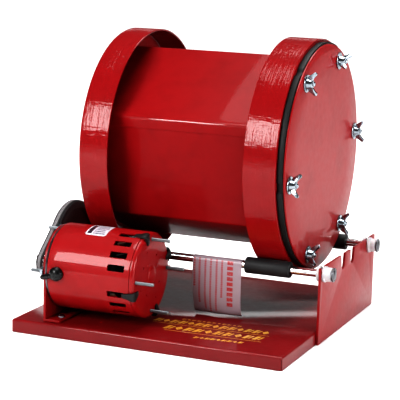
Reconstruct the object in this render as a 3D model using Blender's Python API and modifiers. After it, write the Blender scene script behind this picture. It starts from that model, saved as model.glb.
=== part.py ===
"""Rotary tumbler: a motor-driven hexagonal drum that rolls on two rubber-sleeved shafts above a
sheet-steel tray. Metres, +Z up. The layout sizes count from the tray's front left corner on the
bench; at() moves them to the part's frame, whose origin is the middle of its box on the bench."""

import math

import bmesh
import bpy
from mathutils import Matrix, Vector

# ---------------------------------------------------------------- driving dimensions
MM = 0.001
GAP = 0.3 * MM
TRAY_W, TRAY_D, TRAY_H, TRAY_SHEET = 0.2854, 0.277, 0.013, 0.0016
PLATE_T, PLATE_TOP = 0.0026, 0.077
LEFT_PLATE_X, LEFT_PLATE_FRONT = 0.0325, 0.006
RIGHT_PLATE_X, RIGHT_PLATE_FRONT = TRAY_W + GAP, 0.096
FOOT_W, FOOT_FRONT, FOOT_T = 0.0178, 0.006, 0.0026
SHAFT_R, SLEEVE_R, SHAFT_Z = 0.004, 0.0085, 0.070
FRONT_SHAFT_Y, BACK_SHAFT_Y = 0.105, 0.254
SPARE_SLOTS_Y = (0.1675, 0.198)
RING_R, RING_T = 0.1185, 0.0016
LEFT_RING, RIGHT_RING = (0.0409, 0.0728), (0.2168, 0.2504)
HEX_R, HEX_T, DRUM_TURN = 0.1024, 0.0016, 7.7
LINER_T, LINER_FLANGE_R, LINER_FLANGE_T = 0.004, 0.1156, 0.0060
LID_R, LID_T = 0.1138, 0.0018
BOLT_CIRCLE_R, BOLT_R, BOLT_END_X = 0.1015, 0.0024, 0.2675
MOTOR_Y, MOTOR_Z, MOTOR_R, MOTOR_SHEET = 0.045, 0.0632, 0.0424, 0.0014
STUD_CIRCLE_R, STUD_R, STUD_X = 0.036, 0.0018, (0.0175, 0.1505)
MOTOR_SHAFT_R = 0.003175
BELT_X, BELT_W, BELT_T = 0.0092, 0.0065, 0.0028
LARGE_PULLEY_R, SMALL_PULLEY_R = 0.0430, 0.0092
VENTS, VENT_STEP, VENT_X = (1, 2, 3, 4), 18.0, (0.1025, 0.1205)

# The drum lies on both sleeves, midway between the shafts.
DRUM_Y = (FRONT_SHAFT_Y + BACK_SHAFT_Y) / 2
DRUM_Z = SHAFT_Z + math.sqrt((RING_R + SLEEVE_R) ** 2 - ((BACK_SHAFT_Y - FRONT_SHAFT_Y) / 2) ** 2)
HEX_FLAT = HEX_R * math.cos(math.pi / 6)

# Ends of the whole object, which set the frame.
NUT_END_X = 0.3003
GROMMET_FRONT_Y = MOTOR_Y - MOTOR_R - 0.0068
ORIGIN = Vector((NUT_END_X / 2, (GROMMET_FRONT_Y + DRUM_Y + RING_R) / 2, 0))

# Faces that several parts are placed from.
SHELL_X = (0.0379, 0.1265)
CAP_X = (0.1268, 0.1311)
BELL_X = (LEFT_PLATE_X + PLATE_T + GAP, SHELL_X[0] - GAP)
STUD_FLANGE_X = (0.2482, 0.2500)
LINER_FLANGE_X = STUD_FLANGE_X[1] + GAP
LID_X = LINER_FLANGE_X + LINER_FLANGE_T + GAP

# Turns a piece modelled along local Z so that it lies along world X.
ALONG_X = Matrix.Rotation(math.pi / 2, 4, "Y")
# Turns a flat outline drawn as (y, z) in local XY so that it stands across world X.
ACROSS_X = Matrix(((0, 0, 1, 0), (1, 0, 0, 0), (0, 1, 0, 0), (0, 0, 0, 1)))

# ---------------------------------------------------------------- scene and helpers
for old in list(bpy.data.objects):
    bpy.data.objects.remove(old)


def new_collection(name):
    group = bpy.data.collections.new(name)
    bpy.context.scene.collection.children.link(group)
    return group


parts = new_collection("rotary_tumbler")
cutters = new_collection("cutters")


def material(name, colour, roughness, metallic=0.0):
    made = bpy.data.materials.new(name)
    made.use_nodes = True
    shader = made.node_tree.nodes["Principled BSDF"]
    shader.inputs["Base Color"].default_value = (*colour, 1.0)
    shader.inputs["Roughness"].default_value = roughness
    shader.inputs["Metallic"].default_value = metallic
    return made


RED = material("red_enamel", (0.45, 0.012, 0.016), 0.22)
STEEL = material("bright_steel", (0.62, 0.62, 0.63), 0.28, 1.0)
ZINC = material("zinc_plate", (0.68, 0.70, 0.72), 0.30, 1.0)
DARK_STEEL = material("dark_steel", (0.05, 0.05, 0.055), 0.45, 0.6)
RUBBER = material("black_rubber", (0.018, 0.018, 0.019), 0.6)
NYLON = material("white_nylon", (0.78, 0.74, 0.76), 0.4)
PLASTIC = material("black_plastic", (0.02, 0.021, 0.02), 0.45)
COPPER = material("copper_wire", (0.55, 0.22, 0.10), 0.35, 0.9)
BRONZE = material("bronze", (0.45, 0.30, 0.13), 0.4, 1.0)
ALUMINIUM = material("cast_aluminium", (0.62, 0.62, 0.62), 0.4, 1.0)
FILM = material("printed_film", (0.80, 0.77, 0.78), 0.35)


def at(x, y, z):
    return Vector((x, y, z)) - ORIGIN


def polar(centre_y, centre_z, radius, degrees):
    """(y, z) of a point around an axis along X: 0 degrees is the back, 90 the top, 180 the front."""
    angle = math.radians(degrees)
    return centre_y + radius * math.cos(angle), centre_z + radius * math.sin(angle)


def smooth(mesh, degrees=35):
    mesh.shade_smooth()
    mesh.set_sharp_from_angle(angle=math.radians(degrees))


def add(name, data, finish, place=None, group=parts):
    obj = bpy.data.objects.new(name, data)
    if finish is not None:
        data.materials.append(finish)
    if place is not None:
        obj.matrix_world = place
    group.objects.link(obj)
    if group is cutters:
        obj.hide_render = True
        obj.display_type = "WIRE"
    return obj


def mesh_from(bm, name):
    mesh = bpy.data.meshes.new(name)
    bm.to_mesh(mesh)
    bm.free()
    return mesh


def block(name, low, high, finish=None, group=parts):
    """A box between two corners given in layout coordinates."""
    bm = bmesh.new()
    bmesh.ops.create_cube(bm, size=1.0)
    bmesh.ops.scale(bm, vec=[b - a for a, b in zip(low, high)], verts=bm.verts)
    middle = at(*[(a + b) / 2 for a, b in zip(low, high)])
    return add(name, mesh_from(bm, name), finish, Matrix.Translation(middle), group)


def rod(name, x0, x1, y, z, radius, finish=None, group=parts, segments=24, turn=0.0):
    """A cylinder, or with few segments a prism, along X."""
    bm = bmesh.new()
    bmesh.ops.create_cone(
        bm, cap_ends=True, segments=segments, radius1=radius, radius2=radius, depth=x1 - x0
    )
    mesh = mesh_from(bm, name)
    smooth(mesh)
    place = Matrix.Translation(at((x0 + x1) / 2, y, z)) @ Matrix.Rotation(math.radians(turn), 4, "X")
    return add(name, mesh, finish, place @ ALONG_X, group)


def hexagon(name, x0, x1, flat, finish=None, group=cutters):
    """A hexagonal prism in the drum's position, with its flats at the given distance."""
    corner = flat / math.cos(math.pi / 6)
    return rod(name, x0, x1, DRUM_Y, DRUM_Z, corner, finish, group, segments=6, turn=DRUM_TURN + 90)


def turned(name, profile, y, z, finish, segments=32, group=parts):
    """A turned piece along X from (x, radius) points: down the outer side from the highest x."""
    bm = bmesh.new()
    verts = [bm.verts.new((radius, 0, x)) for x, radius in profile]
    closed = profile[0][1] > 0
    for a, b in zip(verts, verts[1:] + verts[:1] if closed else verts[1:]):
        bm.edges.new((a, b))
    obj = add(name, mesh_from(bm, name), finish, Matrix.Translation(at(0, y, z)) @ ALONG_X, group)
    screw = obj.modifiers.new("turn", "SCREW")
    screw.angle = math.tau
    screw.steps = segments
    screw.render_steps = segments
    screw.use_merge_vertices = True
    screw.merge_threshold = 0.00001
    screw.use_smooth_shade = True
    return obj


def tube(name, x0, x1, y, z, outer, inner, finish, segments=32, group=parts):
    profile = [(x1, outer), (x0, outer), (x0, inner), (x1, inner)]
    return turned(name, profile, y, z, finish, segments, group)


def arc(cy, cz, radius, start, end, steps):
    """Points along an arc in the (y, z) plane, from start to end degrees."""
    return [polar(cy, cz, radius, start + (end - start) * i / steps) for i in range(steps + 1)]


def outline(name, loops, thickness, x_middle, finish=None, group=parts):
    """A flat sheet across X. The first loop of (y, z) points is its edge, the others are holes."""
    curve = bpy.data.curves.new(name, "CURVE")
    curve.dimensions = "2D"
    curve.fill_mode = "BOTH"
    curve.extrude = thickness / 2
    for loop in loops:
        spline = curve.splines.new("POLY")
        spline.points.add(len(loop) - 1)
        for point, (y, z) in zip(spline.points, loop):
            point.co = (y, z, 0, 1)
        spline.use_cyclic_u = True
    return add(name, curve, finish, Matrix.Translation(at(x_middle, 0, 0)) @ ACROSS_X, group)


def as_mesh(obj):
    """Swaps a curve object for a welded mesh, so that it can be cut or joined."""
    name, place, group = obj.name, obj.matrix_world.copy(), obj.users_collection[0]
    bpy.context.view_layer.update()
    evaluated = obj.evaluated_get(bpy.context.evaluated_depsgraph_get())
    bm = bmesh.new()
    bm.from_mesh(bpy.data.meshes.new_from_object(evaluated))
    bmesh.ops.remove_doubles(bm, verts=bm.verts, dist=0.00001)
    bmesh.ops.recalc_face_normals(bm, faces=bm.faces)
    bpy.data.objects.remove(obj)
    return add(name, mesh_from(bm, name), None, place, group)


def finish_with(obj, finish):
    obj.data.materials.clear()
    obj.data.materials.append(finish)
    return obj


def boolean(obj, other, operation="DIFFERENCE"):
    step = obj.modifiers.new(operation.lower(), "BOOLEAN")
    step.operation = operation
    step.solver = "EXACT"
    step.object = other
    return obj


def cut(obj, *others):
    for other in others:
        boolean(obj, other)
    return obj


def join(obj, *others):
    for other in others:
        boolean(obj, other, "UNION")
    return obj


def bevel(obj, width, segments=2, degrees=40):
    step = obj.modifiers.new("edges", "BEVEL")
    step.width = width
    step.segments = segments
    step.limit_method = "ANGLE"
    step.angle_limit = math.radians(degrees)
    return obj


def circle(cy, cz, radius, steps=16):
    return arc(cy, cz, radius, 0, 360 - 360 / steps, steps - 1)


def wire(name, points, radius, finish):
    """A round wire or cord through layout points."""
    curve = bpy.data.curves.new(name, "CURVE")
    curve.dimensions = "3D"
    curve.bevel_depth = radius
    curve.bevel_resolution = 2
    curve.use_fill_caps = True
    spline = curve.splines.new("POLY")
    spline.points.add(len(points) - 1)
    for point, place in zip(spline.points, points):
        point.co = (*at(*place), 1)
    return add(name, curve, finish)


# ---------------------------------------------------------------- tray and end plates
SLOT_HALF, SLOT_MOUTH, NECK_R = 0.0050, 0.0068, 0.0047


def slot(y, bottom_z):
    """An open slot in a plate's top edge, from its back lip round the bottom to its front lip."""
    back_lip = (y + SLOT_MOUTH, PLATE_TOP)
    front_lip = (y - SLOT_MOUTH, PLATE_TOP)
    return [back_lip, *arc(y, bottom_z + SLOT_HALF, SLOT_HALF, 0, -180, 8), front_lip]


def plate_top():
    """The plate's top edge with its two bearing slots and two spare ones, from back to front."""
    seat = SHAFT_Z - SLOT_HALF
    points = slot(BACK_SHAFT_Y, seat)
    for y in reversed(SPARE_SLOTS_Y):
        points += slot(y, 0.0615)
    return points + slot(FRONT_SHAFT_Y, seat)


def make_tray():
    screw_holes = [
        rod_z(f"cut_tray_{i}", SCREW_X, y, 0.0, 0.03, SCREW_R + GAP) for i, y in enumerate(SCREWS_Y)
    ]
    tray = block("base_tray", (0, 0, -0.02), (TRAY_W, TRAY_D, TRAY_H), RED)
    bevel(tray, 0.0022, 3)
    inside = block("cut_tray_inside", (TRAY_SHEET, TRAY_SHEET, -0.03),
                   (TRAY_W - TRAY_SHEET, TRAY_D - TRAY_SHEET, TRAY_H - TRAY_SHEET), None, cutters)
    below = block("cut_tray_below", (-0.01, -0.01, -0.04), (TRAY_W + 0.01, TRAY_D + 0.01, 0), None, cutters)
    cut(tray, inside, below)
    cut(tray, *screw_holes)
    for i, (x, y) in enumerate(((0, 0), (TRAY_W, 0), (TRAY_W, TRAY_D), (0, TRAY_D))):
        corner = block(f"cut_corner_{i}", (x - 0.004, y - 0.0004, -0.01), (x + 0.004, y + 0.0004, 0.0105),
                       None, cutters)
        turn = Matrix.Rotation(math.radians(45 if x == y or x > 0 and y > 0 else -45), 4, "Z")
        corner.matrix_world = corner.matrix_world @ turn
        cut(tray, corner)


def rod_z(name, x, y, z0, z1, radius, finish=None, group=cutters, segments=16):
    bm = bmesh.new()
    bmesh.ops.create_cone(
        bm, cap_ends=True, segments=segments, radius1=radius, radius2=radius, depth=z1 - z0
    )
    place = Matrix.Translation(at(x, y, (z0 + z1) / 2))
    return add(name, mesh_from(bm, name), finish, place, group)


def make_right_plate():
    edge = [(RIGHT_PLATE_FRONT, 0.0), (TRAY_D, 0.0), (TRAY_D, PLATE_TOP)]
    edge += plate_top() + [(RIGHT_PLATE_FRONT, PLATE_TOP)]
    outline("right_end_plate", [edge], PLATE_T, RIGHT_PLATE_X + PLATE_T / 2, RED)


SCREW_R, SCREW_X, SCREWS_Y, SCREW_END = 0.0021, 0.0452, (0.020, 0.134, 0.250), 0.0112
EAR_R, EAR_SLOT_R = 0.0405, 0.0366


def make_left_plate():
    """The motor bracket: a web with an ear round the motor, and a foot along the tray."""
    foot_z = TRAY_H + GAP
    ear_end = math.degrees(math.asin((PLATE_TOP - MOTOR_Z) / EAR_R))
    ear_start = math.degrees(math.acos((LEFT_PLATE_FRONT - MOTOR_Y) / EAR_R))
    ear = arc(MOTOR_Y, MOTOR_Z, EAR_R, ear_end, ear_start - 1, 22)
    edge = [(LEFT_PLATE_FRONT, foot_z), (TRAY_D - 0.002, foot_z), (TRAY_D - 0.002, PLATE_TOP)]
    edge += plate_top() + ear + [(LEFT_PLATE_FRONT, ear[-1][1] - 0.002)]
    holes = [circle(MOTOR_Y, MOTOR_Z, 0.0125, 24)]
    for quarter in range(4):
        holes.append(circle(*polar(MOTOR_Y, MOTOR_Z, STUD_CIRCLE_R, 90 * quarter), STUD_R + GAP, 12))
    for degrees in (158, 68):
        holes.append(circle(*polar(MOTOR_Y, MOTOR_Z, EAR_SLOT_R - 0.0008, degrees), 0.0023, 12))
    middle = LEFT_PLATE_X + PLATE_T / 2
    web = as_mesh(outline("left_end_plate", [edge, *holes], PLATE_T, middle))
    low = (LEFT_PLATE_X + 0.0004, FOOT_FRONT, foot_z)
    foot = block("foot_of_left_plate", low, (LEFT_PLATE_X + FOOT_W, TRAY_D - 0.004, foot_z + FOOT_T),
                 None, cutters)
    bevel(foot, 0.0008, 1)
    join(web, foot)
    for i, y in enumerate(SCREWS_Y):
        cut(web, rod_z(f"cut_foot_{i}", SCREW_X, y, 0.0, 0.03, SCREW_R + GAP))
    finish_with(web, RED)


def make_bracket_screws():
    """Pan-head screws through the bracket's foot and the tray."""
    head = TRAY_H + GAP + FOOT_T + GAP
    for number, y in enumerate(SCREWS_Y, 1):
        profile = [(head + 0.0022, 0), (head + 0.0022, 0.0026), (head + 0.0010, 0.0040)]
        profile += [(head, 0.0040), (head, SCREW_R), (SCREW_END, SCREW_R), (SCREW_END, 0)]
        screw = turned(f"bracket_screw_{number}", profile, 0, 0, ZINC, 16)
        screw.matrix_world = Matrix.Translation(at(SCREW_X, y, 0))


def make_bushing(name, plate_x, y, towards):
    """A flanged bushing in a plate's slot. towards is 1 where its barrel points to +X."""
    inside, outside = plate_x, plate_x + PLATE_T
    if towards < 0:
        inside, outside = outside, inside
    bore = SHAFT_R + GAP
    steps = [(-0.0031 - GAP, 0.0076), (-GAP, 0.0076), (-GAP, NECK_R), (PLATE_T + GAP, NECK_R)]
    steps += [(PLATE_T + GAP, 0.0079), (PLATE_T + 0.0026, 0.0079), (PLATE_T + 0.0032, 0.0071)]
    steps += [(PLATE_T + 0.0090, 0.0068)]
    outer = [(inside + towards * depth, radius) for depth, radius in steps]
    if towards > 0:
        outer.reverse()
    profile = outer + [(outer[-1][0], bore), (outer[0][0], bore)]
    turned(name, profile, y, SHAFT_Z, NYLON, 24)


make_tray()
make_right_plate()
make_left_plate()
make_bracket_screws()
for bushing_side, bushing_plate, bushing_way in (("left", LEFT_PLATE_X, -1), ("right", RIGHT_PLATE_X, 1)):
    make_bushing(f"front_{bushing_side}_bushing", bushing_plate, FRONT_SHAFT_Y, bushing_way)
    make_bushing(f"back_{bushing_side}_bushing", bushing_plate, BACK_SHAFT_Y, bushing_way)

# ---------------------------------------------------------------- shafts, sleeves and push nuts
SHAFT_END_X = 0.2988
LONG_SLEEVE, FRONT_SLEEVE, BACK_SLEEVE = (0.0415, 0.1215), (0.2074, 0.2543), (0.2174, 0.2643)


def make_push_nut(name, tip_x, y, towards):
    """A capped push nut whose domed end is at tip_x."""
    steps = [(0, 0), (0.0002, 0.0030), (0.0009, 0.0046), (0.0010, 0.0068), (0.0024, 0.0070)]
    steps += [(0.0024, SHAFT_R + GAP), (0.0012, SHAFT_R + GAP), (0.0012, 0)]
    profile = [(tip_x - towards * depth, radius) for depth, radius in steps]
    if towards < 0:
        profile.reverse()
    turned(name, profile, y, SHAFT_Z, DARK_STEEL, 20)


rod("drive_shaft", 0.0045, SHAFT_END_X, FRONT_SHAFT_Y, SHAFT_Z, SHAFT_R, STEEL)
rod("idler_shaft", 0.0220, SHAFT_END_X, BACK_SHAFT_Y, SHAFT_Z, SHAFT_R, STEEL)
SLEEVE_CHAMFER = 0.0008
tight = SLEEVE_R - GAP
for sleeve_name, (sleeve_x0, sleeve_x1), sleeve_y in (
    ("front_left_sleeve", LONG_SLEEVE, FRONT_SHAFT_Y),
    ("front_right_sleeve", FRONT_SLEEVE, FRONT_SHAFT_Y),
    ("back_left_sleeve", LONG_SLEEVE, BACK_SHAFT_Y),
    ("back_right_sleeve", BACK_SLEEVE, BACK_SHAFT_Y),
):
    sleeve_outer = [
        (sleeve_x1, tight - SLEEVE_CHAMFER), (sleeve_x1 - SLEEVE_CHAMFER, tight),
        (sleeve_x0 + SLEEVE_CHAMFER, tight), (sleeve_x0, tight - SLEEVE_CHAMFER),
    ]
    sleeve_bore = [(sleeve_x0, SHAFT_R + GAP), (sleeve_x1, SHAFT_R + GAP)]
    turned(sleeve_name, sleeve_outer + sleeve_bore, sleeve_y, SHAFT_Z, RUBBER, 32)
make_push_nut("front_push_nut", NUT_END_X, FRONT_SHAFT_Y, 1)
make_push_nut("back_right_push_nut", NUT_END_X, BACK_SHAFT_Y, 1)
make_push_nut("back_left_push_nut", 0.0220 - (NUT_END_X - SHAFT_END_X), BACK_SHAFT_Y, -1)

# ---------------------------------------------------------------- pulleys and belt


def make_pulley(name, radius, groove, y, z, bore, hub_r, hub_x, web_r, finish, segments):
    """A belt pulley with a grooved rim, a thin web where it is large, and a hub."""
    x0, x1 = BELT_X - 0.0012, BELT_X + BELT_W + 0.0012
    rim = [(x1, groove + 0.0020), (x1 - 0.0009, groove + 0.0020), (x1 - 0.0012, groove)]
    rim += [(x0 + 0.0012, groove), (x0 + 0.0009, groove + 0.0020), (x0, groove + 0.0020)]
    if web_r > 0:
        middle = (x0 + x1) / 2
        face = [(x0, web_r), (middle - 0.0012, web_r - 0.0015), (middle - 0.0012, hub_r + 0.001)]
        face += [(x0, hub_r), (x0, bore), (hub_x, bore), (hub_x, hub_r)]
        face += [(middle + 0.0012, hub_r + 0.001), (middle + 0.0012, web_r - 0.0015), (x1, web_r)]
    else:
        face = [(x0, bore), (hub_x, bore), (hub_x, hub_r), (x1, hub_r)]
    return turned(name, rim + face, y, z, finish, segments)


def make_belt():
    """A flat belt round both pulleys, drawn as its two tangent runs and its two wraps."""
    gap_y, gap_z = FRONT_SHAFT_Y - MOTOR_Y, SHAFT_Z - MOTOR_Z
    heading = math.degrees(math.atan2(gap_z, gap_y))

    def loop(extra):
        large, small = LARGE_PULLEY_R + extra, SMALL_PULLEY_R + extra
        lean = math.degrees(math.asin((large - small) / math.hypot(gap_y, gap_z)))
        top, bottom = heading + 90 + lean, heading - 90 - lean
        points = arc(FRONT_SHAFT_Y, SHAFT_Z, large, bottom, top, 36)
        return points + arc(MOTOR_Y, MOTOR_Z, small, top, bottom + 360, 12)

    middle = BELT_X + BELT_W / 2
    outline("drive_belt", [loop(GAP + BELT_T), loop(GAP)], BELT_W, middle, RUBBER)


make_pulley("drive_pulley", LARGE_PULLEY_R, LARGE_PULLEY_R, FRONT_SHAFT_Y, SHAFT_Z,
            SHAFT_R + GAP, 0.0090, 0.0229, LARGE_PULLEY_R - 0.0045, ALUMINIUM, 48)
make_pulley("motor_pulley", SMALL_PULLEY_R, SMALL_PULLEY_R, MOTOR_Y, MOTOR_Z,
            MOTOR_SHAFT_R + GAP, 0.0070, 0.0225, 0, STEEL, 24)
make_belt()

# ---------------------------------------------------------------- motor
ROTOR_R, STATOR_R, STATOR_X = 0.0215, 0.0404, (0.058, 0.092)
WINDING_X, WINDING_R = (0.0515, 0.0985), (0.0245, 0.0318)


def stud_places(offset=0):
    return [polar(MOTOR_Y, MOTOR_Z, STUD_CIRCLE_R, 90 * quarter + offset) for quarter in range(4)]


def make_motor_shell():
    shell = tube("motor_shell", *SHELL_X, MOTOR_Y, MOTOR_Z, MOTOR_R, MOTOR_R - MOTOR_SHEET, RED, 64)
    number = 0
    for quarter in range(4):
        for step in VENTS:
            degrees = 90 * quarter + VENT_STEP * step
            window = block(f"cut_vent_{number}", (0, 0, 0), (VENT_X[1] - VENT_X[0], 0.012, 0.0064),
                           None, cutters)
            y, z = polar(MOTOR_Y, MOTOR_Z, MOTOR_R, degrees)
            window.matrix_world = (
                Matrix.Translation(at(sum(VENT_X) / 2, y, z)) @ Matrix.Rotation(math.radians(degrees), 4, "X")
            )
            cut(shell, window)
            number += 1
    grommet_hole = rod_y("cut_grommet", GROMMET_X, GROMMET_Z, MOTOR_Y - 0.05, MOTOR_Y - 0.03, 0.0045)
    cut(shell, grommet_hole)


GROMMET_X, GROMMET_Z = 0.0490, 0.0640


def rod_y(name, x, z, y0, y1, radius, finish=None, group=cutters, segments=16):
    bm = bmesh.new()
    bmesh.ops.create_cone(
        bm, cap_ends=True, segments=segments, radius1=radius, radius2=radius, depth=y1 - y0
    )
    place = Matrix.Translation(at(x, (y0 + y1) / 2, z)) @ Matrix.Rotation(math.pi / 2, 4, "X")
    return add(name, mesh_from(bm, name), finish, place, group)


BELL_BOSS_X, BOSS_X = 0.0458, 0.1190


def make_end_cap():
    """The pressed cap over the vented end, with a bearing boss inside and a low boss outside."""
    x0, x1 = CAP_X
    profile = [(x1 + 0.0016, 0), (x1 + 0.0016, 0.0072), (x1, 0.0090), (x1, 0.0394), (x1 - 0.0009, 0.0414)]
    profile += [(x1 - 0.0024, MOTOR_R), (x0, MOTOR_R), (x0, MOTOR_R - 0.0018), (x1 - 0.0022, 0.0388)]
    profile += [(x1 - 0.0018, 0.0112), (BOSS_X, 0.0112), (BOSS_X, 0.0086), (x1 - 0.0018, 0.0086)]
    profile += [(x1 - 0.0018, 0)]
    cap = turned("motor_end_cap", profile, MOTOR_Y, MOTOR_Z, RED, 64)
    for i, (y, z) in enumerate(stud_places()):
        cut(cap, rod(f"cut_cap_stud_{i}", 0.11, 0.15, y, z, STUD_R + GAP, None, cutters, 12, 11))
    for i in range(4):
        y, z = polar(MOTOR_Y, MOTOR_Z, 0.0212, 60 + 90 * i)
        cut(cap, rod(f"cut_cap_hole_{i}", 0.11, 0.15, y, z, 0.0013, None, cutters, 10, 11))


def make_end_bell():
    """The dark end bell between the bracket and the shell."""
    x0, x1 = BELL_X
    profile = [(x1, 0.0112), (x1, MOTOR_R - 0.0003), (x0, MOTOR_R - 0.0008), (x0, 0.0086)]
    profile += [(BELL_BOSS_X, 0.0086), (BELL_BOSS_X, 0.0112)]
    bell = turned("motor_end_bell", profile, MOTOR_Y, MOTOR_Z, DARK_STEEL, 64)
    for i, (y, z) in enumerate(stud_places()):
        cut(bell, rod(f"cut_bell_stud_{i}", 0.03, 0.06, y, z, STUD_R + GAP, None, cutters, 12, 11))


def make_stator():
    """The laminated core, bored for the rotor and the studs, with four coil channels."""
    core = tube("stator_core", *STATOR_X, MOTOR_Y, MOTOR_Z, STATOR_R, ROTOR_R + 0.0006, DARK_STEEL, 48)
    for i, (y, z) in enumerate(stud_places()):
        cut(core, rod(f"cut_core_stud_{i}", 0.05, 0.11, y, z, STUD_R + GAP, None, cutters, 12, 11))
    x0, x1 = WINDING_X
    middle_r = (WINDING_R[0] + WINDING_R[1]) / 2
    coil = tube("field_winding", x0, STATOR_X[0] - GAP, MOTOR_Y, MOTOR_Z, WINDING_R[1], WINDING_R[0],
                COPPER, 32)
    far = tube("far_coil_end", STATOR_X[1] + GAP, x1, MOTOR_Y, MOTOR_Z, WINDING_R[1], WINDING_R[0],
               None, 32, cutters)
    join(coil, far)
    for i in range(4):
        y, z = polar(MOTOR_Y, MOTOR_Z, middle_r, 45 + 90 * i)
        join(coil, rod(f"coil_side_{i}", x0 + 0.002, x1 - 0.002, y, z, 0.0034, None, cutters, 12))
        cut(core, rod(f"cut_core_coil_{i}", 0.05, 0.11, y, z, 0.0034 + GAP, None, cutters, 12))


def make_studs():
    """Four threaded studs that clamp the motor, each with the nut that holds it to the bracket."""
    for number, (y, z) in enumerate(stud_places(), 1):
        rod(f"motor_stud_{number}", *STUD_X, y, z, STUD_R, ZINC, segments=16)
        x1 = LEFT_PLATE_X - GAP
        nut = rod(f"stud_nut_{number}", x1 - 0.0032, x1, y, z, 0.0050, ZINC, segments=6)
        cut(nut, rod(f"cut_nut_{number}", 0, 0.05, y, z, STUD_R + GAP, None, cutters, 16))


def make_clips():
    """Plastic clips from a vent over the cap's shoulder, one beside each stud."""
    shell_r, face = MOTOR_R + GAP, CAP_X[1] + GAP
    start = VENT_X[1] - 0.0022
    loop = [(start, shell_r), (start, shell_r + 0.0012), (start + 0.004, shell_r + 0.0024)]
    loop += [(face + 0.0005, shell_r + 0.0024), (face + 0.0019, shell_r + 0.0010)]
    loop += [(face + 0.0016, 0.0335), (face, 0.0335), (face, shell_r)]
    for number in range(4):
        degrees = 90 * number + VENT_STEP
        curve = bpy.data.curves.new(f"cap_clip_{number + 1}", "CURVE")
        curve.dimensions = "2D"
        curve.fill_mode = "BOTH"
        curve.extrude = 0.0042
        spline = curve.splines.new("POLY")
        spline.points.add(len(loop) - 1)
        for point, (x, radius) in zip(spline.points, loop):
            point.co = (x, radius, 0, 1)
        spline.use_cyclic_u = True
        place = Matrix.Translation(at(0, MOTOR_Y, MOTOR_Z))
        place = place @ Matrix.Rotation(math.radians(degrees), 4, "X")
        add(f"cap_clip_{number + 1}", curve, PLASTIC, place)


def make_grommet_and_cord():
    """The cord's strain relief on the front of the shell, and the short cord up to the bracket's edge."""
    back = MOTOR_Y - MOTOR_R - GAP
    depth = back - GROMMET_FRONT_Y
    profile = [(depth, 0), (depth, 0.0034), (depth - 0.0012, 0.0056), (depth - 0.0036, 0.0070)]
    profile += [(0.0, 0.0070), (0.0, 0)]
    grommet = turned("cord_grommet", profile, 0, 0, RUBBER, 24)
    grommet.matrix_world = (
        Matrix.Translation(at(GROMMET_X, back, GROMMET_Z)) @ Matrix.Rotation(math.pi / 2, 4, "X")
    )
    way = [(0.0412, -0.0010, 0.0614), (0.0388, -0.0007, 0.0606), (0.0362, 0.0002, 0.0597)]
    way += [(0.0336, 0.0014, 0.0589)]
    wire("power_cord", way, 0.0026, RUBBER)


def make_rotor():
    rod("motor_shaft", 0.0050, 0.1280, MOTOR_Y, MOTOR_Z, MOTOR_SHAFT_R, STEEL, segments=20)
    bore = MOTOR_SHAFT_R + GAP
    tube("rotor_core", 0.0568, 0.0932, MOTOR_Y, MOTOR_Z, ROTOR_R - 0.0002, bore, ALUMINIUM, 32)
    tube("motor_left_bearing", 0.0381, 0.0452, MOTOR_Y, MOTOR_Z, 0.0083, bore, BRONZE, 20)
    tube("motor_right_bearing", 0.1192, 0.1264, MOTOR_Y, MOTOR_Z, 0.0083, bore, BRONZE, 20)
    fan = tube("cooling_fan", 0.1030, 0.1115, MOTOR_Y, MOTOR_Z, 0.0080, bore, PLASTIC, 24)
    join(fan, tube("fan_disc", 0.1030, 0.1046, MOTOR_Y, MOTOR_Z, 0.0225, bore, None, 24, cutters))
    for i in range(8):
        blade = block(f"fan_blade_{i}", (0.1032, -0.0007, 0.0070), (0.1145, 0.0007, 0.0325), None, cutters)
        middle_r = (0.0070 + 0.0325) / 2
        turn = Matrix.Rotation(math.radians(45 * i), 4, "X")
        lean = Matrix.Rotation(math.radians(20), 4, "Z")
        blade.matrix_world = (
            Matrix.Translation(at(0.10885, MOTOR_Y, MOTOR_Z)) @ turn
            @ Matrix.Translation((0, 0, middle_r)) @ lean
        )
        join(fan, blade)


make_motor_shell()
make_end_cap()
make_end_bell()
make_stator()
make_studs()
make_clips()
make_grommet_and_cord()
make_rotor()

# ---------------------------------------------------------------- drum
def make_barrel():
    """The hexagonal barrel, one bent sheet whose end laps over itself below the front corner."""
    corners = [DRUM_TURN + 30 + 60 * i for i in range(6)]
    outer = [polar(DRUM_Y, DRUM_Z, HEX_R, degrees) for degrees in corners]
    inner = [polar(DRUM_Y, DRUM_Z, HEX_R - HEX_T / math.cos(math.pi / 6), degrees) for degrees in corners]
    front = Vector(outer[2])
    along = (Vector(outer[3]) - front).normalized()
    out = Vector((-along.y, along.x))
    if out.dot(front - Vector((DRUM_Y, DRUM_Z))) < 0:
        out = -out
    lap_end = front + along * 0.0108
    lap = [tuple(front + out * HEX_T + along * -0.0010), tuple(lap_end + out * HEX_T), tuple(lap_end)]
    before = (Vector(outer[1]) - front).normalized()
    edge = outer[:2] + [tuple(front + before * 0.0022)]
    edge += lap + outer[3:]
    middle = (LEFT_RING[0] + RING_T + GAP + STUD_FLANGE_X[1]) / 2
    length = STUD_FLANGE_X[1] - (LEFT_RING[0] + RING_T + GAP)
    outline("drum_barrel", [edge, inner], length, middle, RED)


def make_rings():
    """The left ring is the drum's closed end, pressed like a pan; the right ring is a plain band."""
    x0, x1 = LEFT_RING
    inner, bend = RING_R - RING_T, 0.0030
    profile = [(x0 + RING_T, 0), (x0 + RING_T, inner - bend * 0.6), (x0 + bend, inner), (x1, inner)]
    profile += [(x1, RING_R), (x0 + bend, RING_R), (x0 + bend * 0.3, RING_R - bend * 0.3)]
    profile += [(x0, RING_R - bend), (x0, 0)]
    turned("left_ring", profile, DRUM_Y, DRUM_Z, RED, 72)
    tube("right_ring", *RIGHT_RING, DRUM_Y, DRUM_Z, RING_R, inner, RED, 72)


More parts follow.
